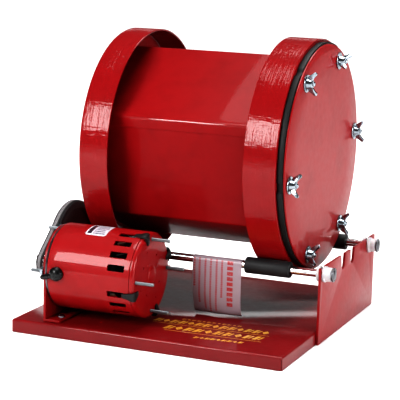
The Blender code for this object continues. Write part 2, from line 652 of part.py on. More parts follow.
def bolt_places():
    return [polar(DRUM_Y, DRUM_Z, BOLT_CIRCLE_R, DRUM_TURN + 60 * i) for i in range(6)]


def make_stud_flange():
    """The flange at the barrel's mouth, with the six studs that are welded to it."""
    outer = RING_R - RING_T - GAP
    flange = rod("stud_flange", *STUD_FLANGE_X, DRUM_Y, DRUM_Z, outer, RED, segments=72)
    cut(flange, hexagon("cut_flange_mouth", 0.24, 0.26, HEX_FLAT + HEX_T + GAP))
    for i, (y, z) in enumerate(bolt_places()):
        join(flange, rod(f"lid_stud_{i}", STUD_FLANGE_X[0] + 0.0006, BOLT_END_X, y, z, BOLT_R,
                         None, cutters, 12))


def make_liner():
    """The moulded rubber liner: a hexagonal cup whose flange is the lid's seal."""
    x0, x1 = LEFT_RING[0] + RING_T + 2 * GAP, LINER_FLANGE_X + LINER_FLANGE_T
    outer = HEX_FLAT - HEX_T - GAP
    liner = rod("rubber_liner", LINER_FLANGE_X, x1, DRUM_Y, DRUM_Z, LINER_FLANGE_R, RUBBER, segments=72)
    cup = rod("liner_cup", x0, x1 - 0.0005, DRUM_Y, DRUM_Z, outer / math.cos(math.pi / 6), None, cutters,
              6, DRUM_TURN + 90)
    join(liner, cup)
    cut(liner, hexagon("cut_liner", x0 + LINER_T, x1 + 0.01, outer - LINER_T))
    for i, (y, z) in enumerate(bolt_places()):
        cut(liner, rod(f"cut_liner_bolt_{i}", 0.24, 0.27, y, z, BOLT_R + GAP, None, cutters, 12, 11))


def make_lid():
    lid = turned(
        "lid",
        [(LID_X + LID_T, 0), (LID_X + LID_T, LID_R - 0.0007), (LID_X + LID_T - 0.0007, LID_R),
         (LID_X, LID_R), (LID_X, 0)],
        DRUM_Y, DRUM_Z, RED, 72,
    )
    for i, (y, z) in enumerate(bolt_places()):
        cut(lid, rod(f"cut_lid_bolt_{i}", 0.24, 0.27, y, z, BOLT_R + GAP, None, cutters, 12, 11))


def make_wing_nuts():
    """Six wing nuts, each a tapered hub with two upright wings."""
    x0 = LID_X + LID_T + GAP
    for number, (y, z) in enumerate(bolt_places(), 1):
        profile = [(x0 + 0.0062, 0.0034), (x0 + 0.0012, 0.0046), (x0 + 0.0012, 0.0085), (x0, 0.0088)]
        profile += [(x0, BOLT_R + GAP), (x0 + 0.0062, BOLT_R + GAP)]
        nut = turned(f"wing_nut_{number}", profile, y, z, ZINC, 16)
        turn = Matrix.Rotation(math.radians(WING_TURNS[number - 1]), 4, "X")
        for side in (1, -1):
            wing = block(f"wing_{number}_{side}", (-0.0042, -0.0009, -0.0024), (0.0042, 0.0009, 0.0024),
                         None, cutters)
            lean = Matrix.Rotation(math.radians(-38 * side), 4, "Y")
            wing.matrix_world = (
                Matrix.Translation(at(x0 + 0.0060, y, z)) @ turn
                @ Matrix.Translation((0, 0, side * 0.0073)) @ lean
            )
            bevel(wing, 0.0006, 1)
            join(nut, wing)


WING_TURNS = (12, -58, 8, -20, -36, -4)
make_barrel()
make_rings()
make_stud_flange()
make_liner()
make_lid()
make_wing_nuts()

# ---------------------------------------------------------------- notice sleeve on the drive shaft
TAG_X, TAG_T, TAG_BOTTOM = (0.1512, 0.2040), 0.0005, 0.0190


def make_notice():
    """A folded film notice that hangs over the drive shaft like a saddle."""
    over = SHAFT_R + GAP + 0.0003
    outer = over + TAG_T
    top = arc(FRONT_SHAFT_Y, SHAFT_Z, outer, 180, 0, 12)
    under = arc(FRONT_SHAFT_Y, SHAFT_Z, over, 0, 180, 12)
    back_low, front_low = TAG_BOTTOM + 0.0045, TAG_BOTTOM
    loop = [(FRONT_SHAFT_Y - outer, front_low), *top, (FRONT_SHAFT_Y + outer, back_low)]
    loop += [(FRONT_SHAFT_Y + over, back_low), *under, (FRONT_SHAFT_Y - over, front_low)]
    outline("notice_tag", [loop], TAG_X[1] - TAG_X[0], sum(TAG_X) / 2, FILM)


make_notice()
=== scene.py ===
"""Looks for the rotary tumbler. Sizes are in millimetres from the tray's front left corner on the
bench: x to the lid, y to the back, z up. P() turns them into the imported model's frame."""

import math

import bmesh
import bpy
from mathutils import Matrix, Vector


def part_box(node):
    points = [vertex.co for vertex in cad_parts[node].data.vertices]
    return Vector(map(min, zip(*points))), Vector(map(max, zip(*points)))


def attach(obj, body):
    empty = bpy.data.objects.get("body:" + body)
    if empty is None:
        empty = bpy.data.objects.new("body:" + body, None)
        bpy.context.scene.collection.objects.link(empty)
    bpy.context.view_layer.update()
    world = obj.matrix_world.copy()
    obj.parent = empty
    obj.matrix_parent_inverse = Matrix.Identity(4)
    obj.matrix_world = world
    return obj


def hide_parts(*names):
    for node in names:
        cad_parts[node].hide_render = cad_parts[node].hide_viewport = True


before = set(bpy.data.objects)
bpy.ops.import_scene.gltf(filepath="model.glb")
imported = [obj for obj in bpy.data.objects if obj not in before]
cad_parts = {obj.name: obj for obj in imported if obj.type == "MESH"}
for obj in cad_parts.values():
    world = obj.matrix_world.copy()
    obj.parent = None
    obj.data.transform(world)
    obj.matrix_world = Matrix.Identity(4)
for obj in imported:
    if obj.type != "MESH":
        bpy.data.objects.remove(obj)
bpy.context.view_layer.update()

MM = 0.001
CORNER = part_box("base_tray")[0]


def P(x, y, z):
    return CORNER + Vector((x, y, z)) * MM


def size_of(node):
    """A CAD node's low and high corners, in millimetres from the tray's corner."""
    low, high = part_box(node)
    return (low - CORNER) / MM, (high - CORNER) / MM


def middle_of(node):
    low, high = size_of(node)
    return (low + high) / 2


def ends_of(node):
    """Where a CAD node starts and ends along x."""
    low, high = size_of(node)
    return low.x, high.x


def half_depth(node):
    """Half a CAD node's size from front to back, which is the radius of a round one."""
    low, high = size_of(node)
    return (high.y - low.y) / 2


def polar(centre, radius, degrees):
    """(y, z) around an axis along x: 0 degrees is the back, 90 the top, 180 the front."""
    angle = math.radians(degrees)
    return centre[0] + radius * math.cos(angle), centre[1] + radius * math.sin(angle)


def arc(centre, radius, start, end, steps):
    return [polar(centre, radius, start + (end - start) * i / steps) for i in range(steps + 1)]


def ring(centre, radius, steps):
    """A closed circle of (y, z) points."""
    return arc(centre, radius, 0, 360 - 360 / steps, steps - 1)


# ---------------- sizes, read from the CAD
TRAY_W, TRAY_D, TRAY_H = size_of("base_tray")[1]
RIGHT_LOW, RIGHT_HIGH = size_of("right_end_plate")
LEFT_LOW, LEFT_HIGH = size_of("left_end_plate")
PLATE_T = RIGHT_HIGH.x - RIGHT_LOW.x
PLATE_TOP = RIGHT_HIGH.z
FOOT_SCREWS = [tuple(middle_of(f"bracket_screw_{i}").xy) for i in (1, 2, 3)]
FRONT_Y, SHAFT_Z = middle_of("drive_shaft").yz
BACK_Y = middle_of("idler_shaft").y
MOTOR_Y, MOTOR_Z = middle_of("motor_shell").yz
FRONT, BACK, MOTOR = (FRONT_Y, SHAFT_Z), (BACK_Y, SHAFT_Z), (MOTOR_Y, MOTOR_Z)
DRUM = tuple(middle_of("right_ring").yz)
RING_R = half_depth("right_ring")
MOTOR_R = half_depth("motor_shell")
BELT_X0, BELT_X1 = ends_of("drive_belt")
SHELL_X0, SHELL_X1 = ends_of("motor_shell")
LID_X0, LID_X1 = ends_of("lid")
GROMMET = middle_of("cord_grommet")

# ---------------- sizes of the finer detail
GAP = 0.3
SHAFT_R = 4.0
SHAFT_BORE = SHAFT_R + GAP
FOOT_HOLE_R = 2.4
SPARE_SLOTS = (167.5, 198.0)
BIG_GROOVE_R, SMALL_GROOVE_R = 43.0, 9.2
STUD_CIRCLE, STUD_HOLE_R = 36.0, 2.1
CAP_X0 = SHELL_X1 + GAP
CAP_FACE = CAP_X0 + 4.3
VENT_X0, VENT_X1 = 102.5, 120.5
DRUM_TURN = 7.7
HEX_R, SHEET_T = 102.4, 1.6
FLAT = math.cos(math.pi / 6)  # a hexagon's flats against its corners
HEX_FLAT = HEX_R * FLAT
LID_HOLE_R = 2.7
BOLTS = [polar(DRUM, 101.5, DRUM_TURN + 60 * i) for i in range(6)]
WING_TURNS = (12, -58, 8, -20, -36, -4)


# ---------------- materials
class Nodes:
    """A small builder for one procedural material."""

    def __init__(self, name, rough=0.4, metal=0.0, coat=0.0, spec=0.5):
        self.mat = bpy.data.materials.new(name)
        self.mat.use_nodes = True
        self.tree = self.mat.node_tree
        self.shader = self.tree.nodes["Principled BSDF"]
        self.set("Roughness", rough)
        self.set("Metallic", metal)
        self.set("Coat Weight", coat)
        self.set("Coat Roughness", 0.03)
        self.set("Specular IOR Level", spec)
        self.coords = self.add("ShaderNodeTexCoord")
        self.normal = None

    def add(self, kind, **settings):
        node = self.tree.nodes.new(kind)
        for key, value in settings.items():
            setattr(node, key, value)
        return node

    def set(self, socket, value):
        self.shader.inputs[socket].default_value = value

    def link(self, a, b):
        self.tree.links.new(a, b)

    def mapped(self, scale, source="Object"):
        node = self.add("ShaderNodeMapping")
        node.inputs["Scale"].default_value = scale
        self.link(self.coords.outputs[source], node.inputs["Vector"])
        return node.outputs["Vector"]

    def noise(self, scale, detail=3.0, rough=0.5):
        """Noise whose grain is scale, per metre, along x, y and z."""
        node = self.add("ShaderNodeTexNoise")
        node.inputs["Scale"].default_value = 1.0
        node.inputs["Detail"].default_value = detail
        node.inputs["Roughness"].default_value = rough
        scale = (scale,) * 3 if isinstance(scale, (int, float)) else scale
        self.link(self.mapped(scale), node.inputs["Vector"])
        return node.outputs["Fac"]

    def wave(self, scale, direction, distortion=0.0, vector=None):
        """Even bands in one direction."""
        node = self.add("ShaderNodeTexWave", wave_type="BANDS", bands_direction=direction)
        node.inputs["Scale"].default_value = scale
        node.inputs["Distortion"].default_value = distortion
        self.link(self.coords.outputs["Object"] if vector is None else vector, node.inputs["Vector"])
        return node.outputs["Fac"]

    def maths(self, operation, a, b):
        """One maths node over two values, each a socket or a number."""
        node = self.add("ShaderNodeMath", operation=operation)
        for socket, value in zip(node.inputs, (a, b)):
            if isinstance(value, (int, float)):
                socket.default_value = value
            else:
                self.link(value, socket)
        return node.outputs[0]

    def joined(self, operation, values):
        """Several values taken together by one kind of maths node."""
        total = values[0]
        for value in values[1:]:
            total = self.maths(operation, total, value)
        return total

    def ramp(self, value, stops):
        node = self.add("ShaderNodeValToRGB")
        elements = node.color_ramp.elements
        while len(elements) < len(stops):
            elements.new(0.5)
        for element, (place, colour) in zip(elements, stops):
            element.position = place
            colour = (colour,) * 3 if isinstance(colour, (int, float)) else colour
            element.color = (*colour, 1.0)
        self.link(value, node.inputs["Fac"])
        return node.outputs["Color"]

    def colour(self, value, stops):
        self.link(self.ramp(value, stops), self.shader.inputs["Base Color"])

    def rough(self, value, low, high):
        node = self.add("ShaderNodeMapRange")
        node.inputs["To Min"].default_value = low
        node.inputs["To Max"].default_value = high
        self.link(value, node.inputs["Value"])
        self.link(node.outputs["Result"], self.shader.inputs["Roughness"])

    def bump(self, value, depth):
        """Adds relief, depth in millimetres, on top of any earlier relief."""
        node = self.add("ShaderNodeBump")
        node.inputs["Strength"].default_value = 1.0
        node.inputs["Distance"].default_value = depth * MM
        self.link(value, node.inputs["Height"])
        if self.normal is not None:
            self.link(self.normal, node.inputs["Normal"])
        self.normal = node.outputs["Normal"]
        self.link(self.normal, self.shader.inputs["Normal"])
        self.link(self.normal, self.shader.inputs["Coat Normal"])


def enamel(name, waves, tone=1.0, coat=0.28, ripple=0.0, spec=0.12):
    """Stoved red enamel: a glossy skin with orange peel over wavy, sometimes rippled, sheet."""
    n = Nodes(name, rough=0.45, coat=coat, spec=spec)
    reds = (0.200 * tone, 0.0036, 0.0050), (0.232 * tone, 0.0046, 0.0064), (0.214 * tone, 0.0041, 0.0056)
    n.colour(n.noise(30, 4, 0.6), list(zip((0.3, 0.55, 0.8), reds)))
    n.rough(n.noise(160, 3), 0.38, 0.52)
    n.bump(n.noise(waves, 2, 0.4), 0.16)
    if ripple:
        n.bump(n.noise((420, 40, 40), 3, 0.6), ripple)
        n.bump(n.noise((60, 330, 330), 2, 0.5), ripple * 0.7)
    n.bump(n.noise(620, 2, 0.5), 0.011)
    return n.mat


def metal(name, colour, rough, grain, depth=0.004, tint=None):
    """Bare metal with fine tool lines, whose grain is per metre along x, y and z."""
    n = Nodes(name, metal=1.0)
    tint = tint or tuple(c * 0.82 for c in colour)
    n.colour(n.noise(90, 4, 0.6), [(0.32, tint), (0.62, colour)])
    n.rough(n.noise(grain, 3, 0.7), rough * 0.75, rough * 1.35)
    n.bump(n.noise(grain, 2, 0.6), depth)
    return n.mat


def moulded(name, colour, rough, grain=900, depth=0.02, pale=1.7, spec=0.45):
    """Moulded rubber or plastic with a fine matt grain and faint dusty patches."""
    n = Nodes(name, spec=spec)
    dusty = tuple(c * pale for c in colour)
    n.colour(n.noise(55, 5, 0.65), [(0.35, colour), (0.75, dusty)])
    n.rough(n.noise(200, 3), rough * 0.85, rough * 1.15)
    n.bump(n.noise(grain, 2, 0.6), depth)
    return n.mat


RED_SHEET = enamel("enamel_flat_sheet", 7, 0.96, 0.22)
RED_BARREL = enamel("enamel_barrel", 7, 0.98, 0.08, spec=0.06)
RED_BEND = enamel("enamel_bend", 7, 1.0, 1.0)
RED_LID = enamel("enamel_lid", 7, 1.03, 0.22)
RED_ROLLED = enamel("enamel_rolled_band", (90, 9, 9), 0.94, 0.44, 0.30, 0.04)
RED_MOTOR = enamel("enamel_motor", (30, 14, 14), 1.06)
# The tray's low tone of 0.70 is painted shade: it darkens the tray's red to stand for the drum's shade over
# the tray.
SHADED_RED_TRAY = enamel("enamel_tray_painted_shade", 5, 0.70, 0.36)
GROUND_STEEL = metal("ground_steel", (0.66, 0.65, 0.65), 0.17, (2600, 60, 60))
ZINC = metal("bright_zinc", (0.36, 0.40, 0.43), 0.22, 500, 0.01, (0.24, 0.28, 0.32))
STUD_STEEL = metal("stud_steel", (0.20, 0.215, 0.225), 0.34, 500, 0.01, (0.13, 0.145, 0.155))
BLACKENED = metal("blackened_steel", (0.13, 0.13, 0.14), 0.34, 700, 0.008)
CAST = metal("cast_aluminium", (0.50, 0.50, 0.51), 0.42, 420, 0.03)
CAST_DARK = metal("dark_casting", (0.075, 0.072, 0.075), 0.45, 420, 0.03)
BRONZE = metal("sintered_bronze", (0.52, 0.33, 0.13), 0.40, 900, 0.02)
RUBBER = moulded("black_rubber", (0.012, 0.012, 0.0125), 0.55, spec=0.3)
LINER_RUBBER = moulded("liner_rubber", (0.007, 0.007, 0.007), 0.50, 500, 0.03, 1.8, 0.2)
CORD_RUBBER = moulded("cord_rubber", (0.004, 0.004, 0.004), 0.28, 700, 0.01, 1.5, 0.3)
PLASTIC = moulded("black_plastic", (0.008, 0.008, 0.008), 0.45, 800, 0.02, 1.5, 0.25)
BELT_EDGE = moulded("belt_black", (0.016, 0.016, 0.017), 0.48, 600, 0.03)


def make_nylon():
    n = Nodes("white_nylon", rough=0.36, spec=0.45)
    n.set("Subsurface Weight", 0.18)
    n.set("Subsurface Scale", 0.002)
    n.colour(n.noise(120, 4), [(0.3, (0.42, 0.385, 0.405)), (0.7, (0.52, 0.50, 0.51))])
    n.bump(n.noise(500, 2), 0.012)
    return n.mat


def make_copper():
    """Enamelled wire: fine turns across the coil under a brown varnish."""
    n = Nodes("copper_winding", rough=0.3, metal=0.85, coat=0.4)
    turns = n.wave(420, "DIAGONAL", 1.5)
    n.colour(turns, [(0.2, (0.16, 0.045, 0.018)), (0.8, (0.52, 0.19, 0.075))])
    n.bump(turns, 0.12)
    return n.mat


def make_laminations():
    n = Nodes("core_laminations", rough=0.5, metal=0.9)
    plates = n.wave(620, "X")
    n.colour(plates, [(0.25, (0.03, 0.03, 0.035)), (0.75, (0.16, 0.16, 0.17))])
    n.bump(plates, 0.06)
    return n.mat


def make_belt_face():
    """The belt's outer face: worn grey fabric with close slanting ribs."""
    n = Nodes("belt_ribs", spec=0.4)
    ribs = n.wave(1, "DIAGONAL", 0.6, n.mapped((150, 70, 1), "UV"))
    n.colour(ribs, [(0.25, (0.09, 0.086, 0.09)), (0.7, (0.34, 0.325, 0.33))])
    n.rough(ribs, 0.35, 0.55)
    n.bump(ribs, 0.18)
    return n.mat


def bars(n, low, high, pitch=0.0, fill=1.0):
    """1 inside a block between two UV corners; a pitch cuts the block into bars along v."""
    split = n.add("ShaderNodeSeparateXYZ")
    n.link(n.coords.outputs["UV"], split.inputs["Vector"])
    tests = []
    for value, start, end in zip(split.outputs, low, high):
        tests += [n.maths("GREATER_THAN", value, start), n.maths("LESS_THAN", value, end)]
    if pitch:
        wrap = n.maths("PINGPONG", split.outputs[1], pitch / 2)
        tests.append(n.maths("LESS_THAN", wrap, fill * pitch / 2))
    return n.joined("MULTIPLY", tests)


def make_printed_film():
    """Thin creased film with a plain column of red bars and rows of short dashes, no lettering."""
    n = Nodes("printed_film", rough=0.34, spec=0.5)
    title = bars(n, (0.71, 0.20), (0.83, 0.99), 0.085, 0.70)
    starts = ((0.585, 0.36), (0.475, 0.12), (0.355, 0.10), (0.245, 0.14), (0.125, 0.24), (0.02, 0.50))
    rows = [bars(n, (u, v), (u + 0.040, 0.97), 0.034 + 0.003 * (i % 3), 0.66)
            for i, (u, v) in enumerate(starts)]
    mottled = n.ramp(n.noise(700, 3, 0.7), [(0.30, 0.45), (0.5, 1.0)])
    ink = n.maths("MULTIPLY", n.joined("MAXIMUM", [title, *rows]), mottled)
    # The ground's dim grey-pink is painted light and shade: pink for the red tray seen through the film, and
    # grey for the shade on the film.
    n.colour(ink, [(0.0, (0.33, 0.255, 0.285)), (1.0, (0.36, 0.018, 0.024))])
    n.set("Alpha", 0.92)
    n.bump(n.noise((60, 60, 25), 4, 0.6), 0.55)
    return n.mat


def make_label():
    """A plain data plate: a dark block and rows of grey dashes on white, no lettering."""
    n = Nodes("plain_label", rough=0.32, spec=0.5, coat=0.3)
    block = bars(n, (0.07, 0.10), (0.27, 0.90))
    rows = []
    for i in range(6):
        v = 0.10 + 0.14 * i
        rows.append(bars(n, (0.34, v), (0.92 - 0.05 * (i % 3), v + 0.075)))
    speckle = n.ramp(n.noise((900, 700, 700), 2, 0.6), [(0.38, 0.25), (0.52, 0.62)])
    ink = n.maths("MAXIMUM", block, n.maths("MULTIPLY", n.joined("MAXIMUM", rows), speckle))
    n.colour(ink, [(0.0, (0.50, 0.49, 0.54)), (0.6, (0.10, 0.095, 0.13)), (1.0, (0.012, 0.010, 0.02))])
    return n.mat


def make_gold():
    n = Nodes("gold_transfer", rough=0.4, metal=0.2, coat=0.4)
    n.colour(n.noise(500, 4, 0.7), [(0.33, (0.26, 0.07, 0.01)), (0.46, (0.66, 0.34, 0.03)),
                                    (0.7, (0.80, 0.48, 0.06))])
    return n.mat


NYLON, COPPER, LAMINATED = make_nylon(), make_copper(), make_laminations()
BELT_FACE, FILM, LABEL, GOLD = make_belt_face(), make_printed_film(), make_label(), make_gold()


# ---------------- mesh helpers
def add(name, data):
    """An object in the scene that shows a mesh, a curve, a light or a camera."""
    obj = bpy.data.objects.new(name, data)
    bpy.context.scene.collection.objects.link(obj)
    return obj


def mesh_object(name, bm):
    mesh = bpy.data.meshes.new(name)
    bm.to_mesh(mesh)
    bm.free()
    return add(name, mesh)


def shade(obj, sharp):
    """Smooth shading, with edges that turn by more than sharp degrees kept hard."""
    obj.data.shade_smooth()
    obj.data.set_sharp_from_angle(angle=math.radians(sharp))


def finish_mesh(name, bm, mats, body, node=None, sharp=32, weld=True):
    """Turns a bmesh into a piece that rides on a body and may stand for a CAD node."""
    if weld:
        bmesh.ops.remove_doubles(bm, verts=bm.verts, dist=1e-7)
        bmesh.ops.recalc_face_normals(bm, faces=bm.faces)
    obj = mesh_object(name, bm)
    shade(obj, sharp)
    mats = mats if isinstance(mats, (list, tuple)) else [mats]
    for mat in mats:
        obj.data.materials.append(mat)
    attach(obj, body)
    if node:
        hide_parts(node)
    return obj


def cutter(bm):
    """A passing mesh that cuts or joins another, removed once it is used."""
    bmesh.ops.recalc_face_normals(bm, faces=bm.faces)
    return mesh_object("cutter", bm)


def evaluated_mesh(obj):
    """A new mesh of an object as its modifiers or its curve settings leave it."""
    bpy.context.view_layer.update()
    evaluated = obj.evaluated_get(bpy.context.evaluated_depsgraph_get())
    return bpy.data.meshes.new_from_object(evaluated)


def curve_bmesh(curve, weld=0.0):
    """A bmesh of a curve's solid, which takes the curve's place."""
    obj = add(curve.name, curve)
    mesh = evaluated_mesh(obj)
    bm = bmesh.new()
    bm.from_mesh(mesh)
    bpy.data.objects.remove(obj)
    bpy.data.meshes.remove(mesh)
    if weld:
        bmesh.ops.remove_doubles(bm, verts=bm.verts, dist=weld)
    return bm


def apply(obj, sharp=32):
    """Bakes an object's modifiers into its mesh."""
    mesh = evaluated_mesh(obj)
    obj.modifiers.clear()
    obj.data = mesh
    shade(obj, sharp)
    return obj


def combine(obj, others, operation, sharp=32):
    for other in others:
        step = obj.modifiers.new(operation, "BOOLEAN")
        step.operation = operation
        step.solver = "EXACT"
        step.object = other
    apply(obj, sharp)
    for other in others:
        bpy.data.objects.remove(other)


def bevelled(obj, width, segments=2, degrees=35, sharp=32):
    step = obj.modifiers.new("edges", "BEVEL")
    step.width = width * MM
    step.segments = segments
    step.limit_method = "ANGLE"
    step.angle_limit = math.radians(degrees)
    return apply(obj, sharp)


def placed(place, degrees, axis="X"):
    """Carries a shape from the origin to a place, turned about an axis."""
    return Matrix.Translation(place) @ Matrix.Rotation(math.radians(degrees), 4, axis)


def spin_into(bm, profile, centre, steps=64, start=0.0):
    """Adds a turned surface around an axis along x from (x, radius) points."""
    rings = []
    for x, radius in profile:
        if radius < 1e-6:
            rings.append([bm.verts.new(P(x, *centre))])
        else:
            angles = [start + 360 * i / steps for i in range(steps)]
            rings.append([bm.verts.new(P(x, *polar(centre, radius, a))) for a in angles])
    pairs = list(zip(rings, rings[1:]))
    if len(rings[0]) > 1 and len(rings[-1]) > 1:
        pairs.append((rings[-1], rings[0]))
    for a, b in pairs:
        for i in range(steps):
            j = (i + 1) % steps
            corners = [a[i], a[j]] if len(a) > 1 else [a[0]]
            corners += [b[j], b[i]] if len(b) > 1 else [b[0]]
            if len(corners) > 2:
                bm.faces.new(corners)


def shifted(start, profile, way=1):
    """A profile of (depth, radius) points as (x, radius) points, its depths counted from start."""
    return [(start + way * point[0], *point[1:]) for point in profile]


def turned(name, profile, centre, mat, body, node=None, steps=64, sharp=32):
    bm = bmesh.new()
    spin_into(bm, profile, centre, steps)
    return finish_mesh(name, bm, mat, body, node, sharp)


UPWARDS = Matrix(((0, 1, 0, 0), (0, 0, 1, 0), (1, 0, 0, 0), (0, 0, 0, 1)))
FORWARDS = Matrix(((0, 1, 0, 0), (-1, 0, 0, 0), (0, 0, 1, 0), (0, 0, 0, 1)))
ACROSS = Matrix(((0, 0, 1, 0), (1, 0, 0, 0), (0, 1, 0, 0), (0, 0, 0, 1)))


def swung(name, profile, place, axes, mat, node=None, steps=24):
    """A turned piece on the base whose axis is swung from x to another direction."""
    bm = bmesh.new()
    spin_into(bm, profile, (0, 0), steps)
    to = Matrix.Translation(place) @ axes @ Matrix.Translation(-CORNER)
    bmesh.ops.transform(bm, matrix=to, verts=bm.verts)
    return finish_mesh(name, bm, mat, "base", node)


def fillet(points, radius, steps=3, closed=True):
    """Rounds the corners of an outline. A point's own third value overrides the radius."""
    rounded = []
    count = len(points)
    for i, point in enumerate(points):
        r = point[2] if len(point) > 2 else radius
        here = Vector(point[:2])
        if r <= 0 or (not closed and i in (0, count - 1)):
            rounded.append(tuple(here))
            continue
        before = Vector(points[i - 1][:2]) - here
        after = Vector(points[(i + 1) % count][:2]) - here
        half = before.angle(after, 0) / 2
        if half < 0.05 or half > math.pi / 2 - 0.02:
            rounded.append(tuple(here))
            continue
        reach = min(r / math.tan(half), before.length * 0.45, after.length * 0.45)
        r = reach * math.tan(half)
        middle = here + (before.normalized() + after.normalized()).normalized() * (r / math.sin(half))
        a = here + before.normalized() * reach - middle
        b = here + after.normalized() * reach - middle
        turn = math.atan2(a.x * b.y - a.y * b.x, a.dot(b))
        for k in range(steps + 1):
            rounded.append(tuple(middle + Matrix.Rotation(turn * k / steps, 2) @ a))
    return rounded


def sheet_bmesh(loops, x0, x1, edge=0.3):
    """A flat sheet across x between x0 and x1, with its outline rounded over by edge."""
    curve = bpy.data.curves.new("outline", "CURVE")
    curve.dimensions = "2D"
    curve.fill_mode = "BOTH"
    curve.extrude = ((x1 - x0) / 2 - edge) * MM
    curve.bevel_depth = edge * MM
    curve.bevel_resolution = 1
    curve.offset = -edge * MM
    for loop in loops:
        spline = curve.splines.new("POLY")
        spline.points.add(len(loop) - 1)
        for point, (y, z) in zip(spline.points, loop):
            point.co = (y * MM, z * MM, 0, 1)
        spline.use_cyclic_u = True
    bm = curve_bmesh(curve, 1e-6)
    to = Matrix.Translation(P((x0 + x1) / 2, 0, 0)) @ ACROSS
    bmesh.ops.transform(bm, matrix=to, verts=bm.verts)
    return bm


def sheet(name, loops, x0, x1, mat, body, node=None, edge=0.3, sharp=40):
    return finish_mesh(name, sheet_bmesh(loops, x0, x1, edge), mat, body, node, sharp)


def box_bmesh(size, place):
    """A box about its own middle, carried to a place by a matrix."""
    bm = bmesh.new()
    made = bmesh.ops.create_cube(bm, size=1.0)["verts"]
    bmesh.ops.scale(bm, vec=[side * MM for side in size], verts=made)
    bmesh.ops.transform(bm, matrix=place, verts=made)
    return bm


def box_between(low, high):
    middle = P(*[(a + b) / 2 for a, b in zip(low, high)])
    return box_bmesh([b - a for a, b in zip(low, high)], Matrix.Translation(middle))


def prism_into(bm, near, far):
    """Adds a solid between two matching outlines, each a list of places."""
    near = [bm.verts.new(place) for place in near]
    far = [bm.verts.new(place) for place in far]
    bm.faces.new(near)
    bm.faces.new(far[::-1])
    for i in range(len(near)):
        j = (i + 1) % len(near)
        bm.faces.new((near[i], far[i], far[j], near[j]))


def uv_quad(bm, uv, corners):
    """A face through four (vertex, u, v) corners."""
    face = bm.faces.new([corner[0] for corner in corners])
    for loop, (_, u, v) in zip(face.loops, corners):
        loop[uv].uv = (u, v)
    return face


def hole(x0, x1, centre, radius, steps=18):
    """A round cutter along x."""
    bm = bmesh.new()
    spin_into(bm, [(x1, 0), (x1, radius), (x0, radius), (x0, 0)], centre, steps, 9.0)
    return cutter(bm)


def drill(place, radius, depth, steps=18):
    """A round cutter along z, carried to a place by a matrix."""
    bm = bmesh.new()
    r = radius * MM
    made = bmesh.ops.create_cone(bm, cap_ends=True, segments=steps, radius1=r, radius2=r, depth=depth * MM)
    bmesh.ops.transform(bm, matrix=place, verts=made["verts"])
    return cutter(bm)


def foot_screw_holes(z0, z1):
    middle = (z0 + z1) / 2
    return [drill(Matrix.Translation(P(x, y, middle)), FOOT_HOLE_R, z1 - z0) for x, y in FOOT_SCREWS]


def threaded(name, x0, x1, centre, radius, pitch, mat, body, node=None, plain=None, cut=0.42):
    """A stud with ring-shaped threads and chamfered ends. plain is a stretch with no thread."""
    profile = [(x1, 0), (x1, radius * 0.62), (x1 - 0.5, radius - 0.25)]
    x = x1 - 0.7
    depth = pitch * cut
    while x > x0 + 0.9:
        if plain and plain[0] < x < plain[1]:
            profile += [(plain[1], radius - 0.05), (plain[0], radius - 0.05)]
            x = plain[0] - pitch
            continue
        profile += [(x, radius), (x - pitch * 0.12, radius), (x - pitch * 0.5, radius - depth)]
        x -= pitch
    profile += [(x0 + 0.5, radius - 0.25), (x0, radius * 0.62), (x0, 0)]
    return turned(name, profile, centre, mat, body, node, 20, 50)


# ---------------- tray
def make_tray():
    """The folded tray: rounded bends, open below, with a slit down each corner of its flanges."""
    t = 1.5
    tray = finish_mesh("tray", box_between((0, 0, -20), (TRAY_W, TRAY_D, TRAY_H)), SHADED_RED_TRAY, "base",
                       "base_tray")
    bevelled(tray, 2.4, 6, 30)
    cuts = [cutter(box_between((t, t, -30), (TRAY_W - t, TRAY_D - t, TRAY_H - t))),
            cutter(box_between((-10, -10, -40), (TRAY_W + 10, TRAY_D + 10, 0)))]
    for x, y, turn in ((0, 0, 45), (TRAY_W, 0, -45), (TRAY_W, TRAY_D, 45), (0, TRAY_D, -45)):
        cuts.append(cutter(box_bmesh((6.4, 0.6, 20.9), placed(P(x, y, 0), turn, "Z"))))
    combine(tray, cuts + foot_screw_holes(-10, 30), "DIFFERENCE", 40)


def make_bracket_screws():
    """Round heads with a crossed recess."""
    for number, (x, y) in enumerate(FOOT_SCREWS, 1):
        node = f"bracket_screw_{number}"
        low, high = size_of(node)
        top = high.z
        profile = shifted(top, [(0, 0), (0, 2.0), (-0.5, 3.2), (-1.3, 3.9), (-2.1, 4.0), (-2.1, 2.1)])
        profile += [(low.z, 2.1), (low.z, 0)]
        screw = swung(f"{node}_head", profile, P(x, y, 0), UPWARDS, ZINC, node)
        recess = [cutter(box_bmesh((4.2, 0.8, 1.8), placed(P(x, y, top), turn, "Z"))) for turn in (20, 110)]
        combine(screw, recess, "DIFFERENCE")


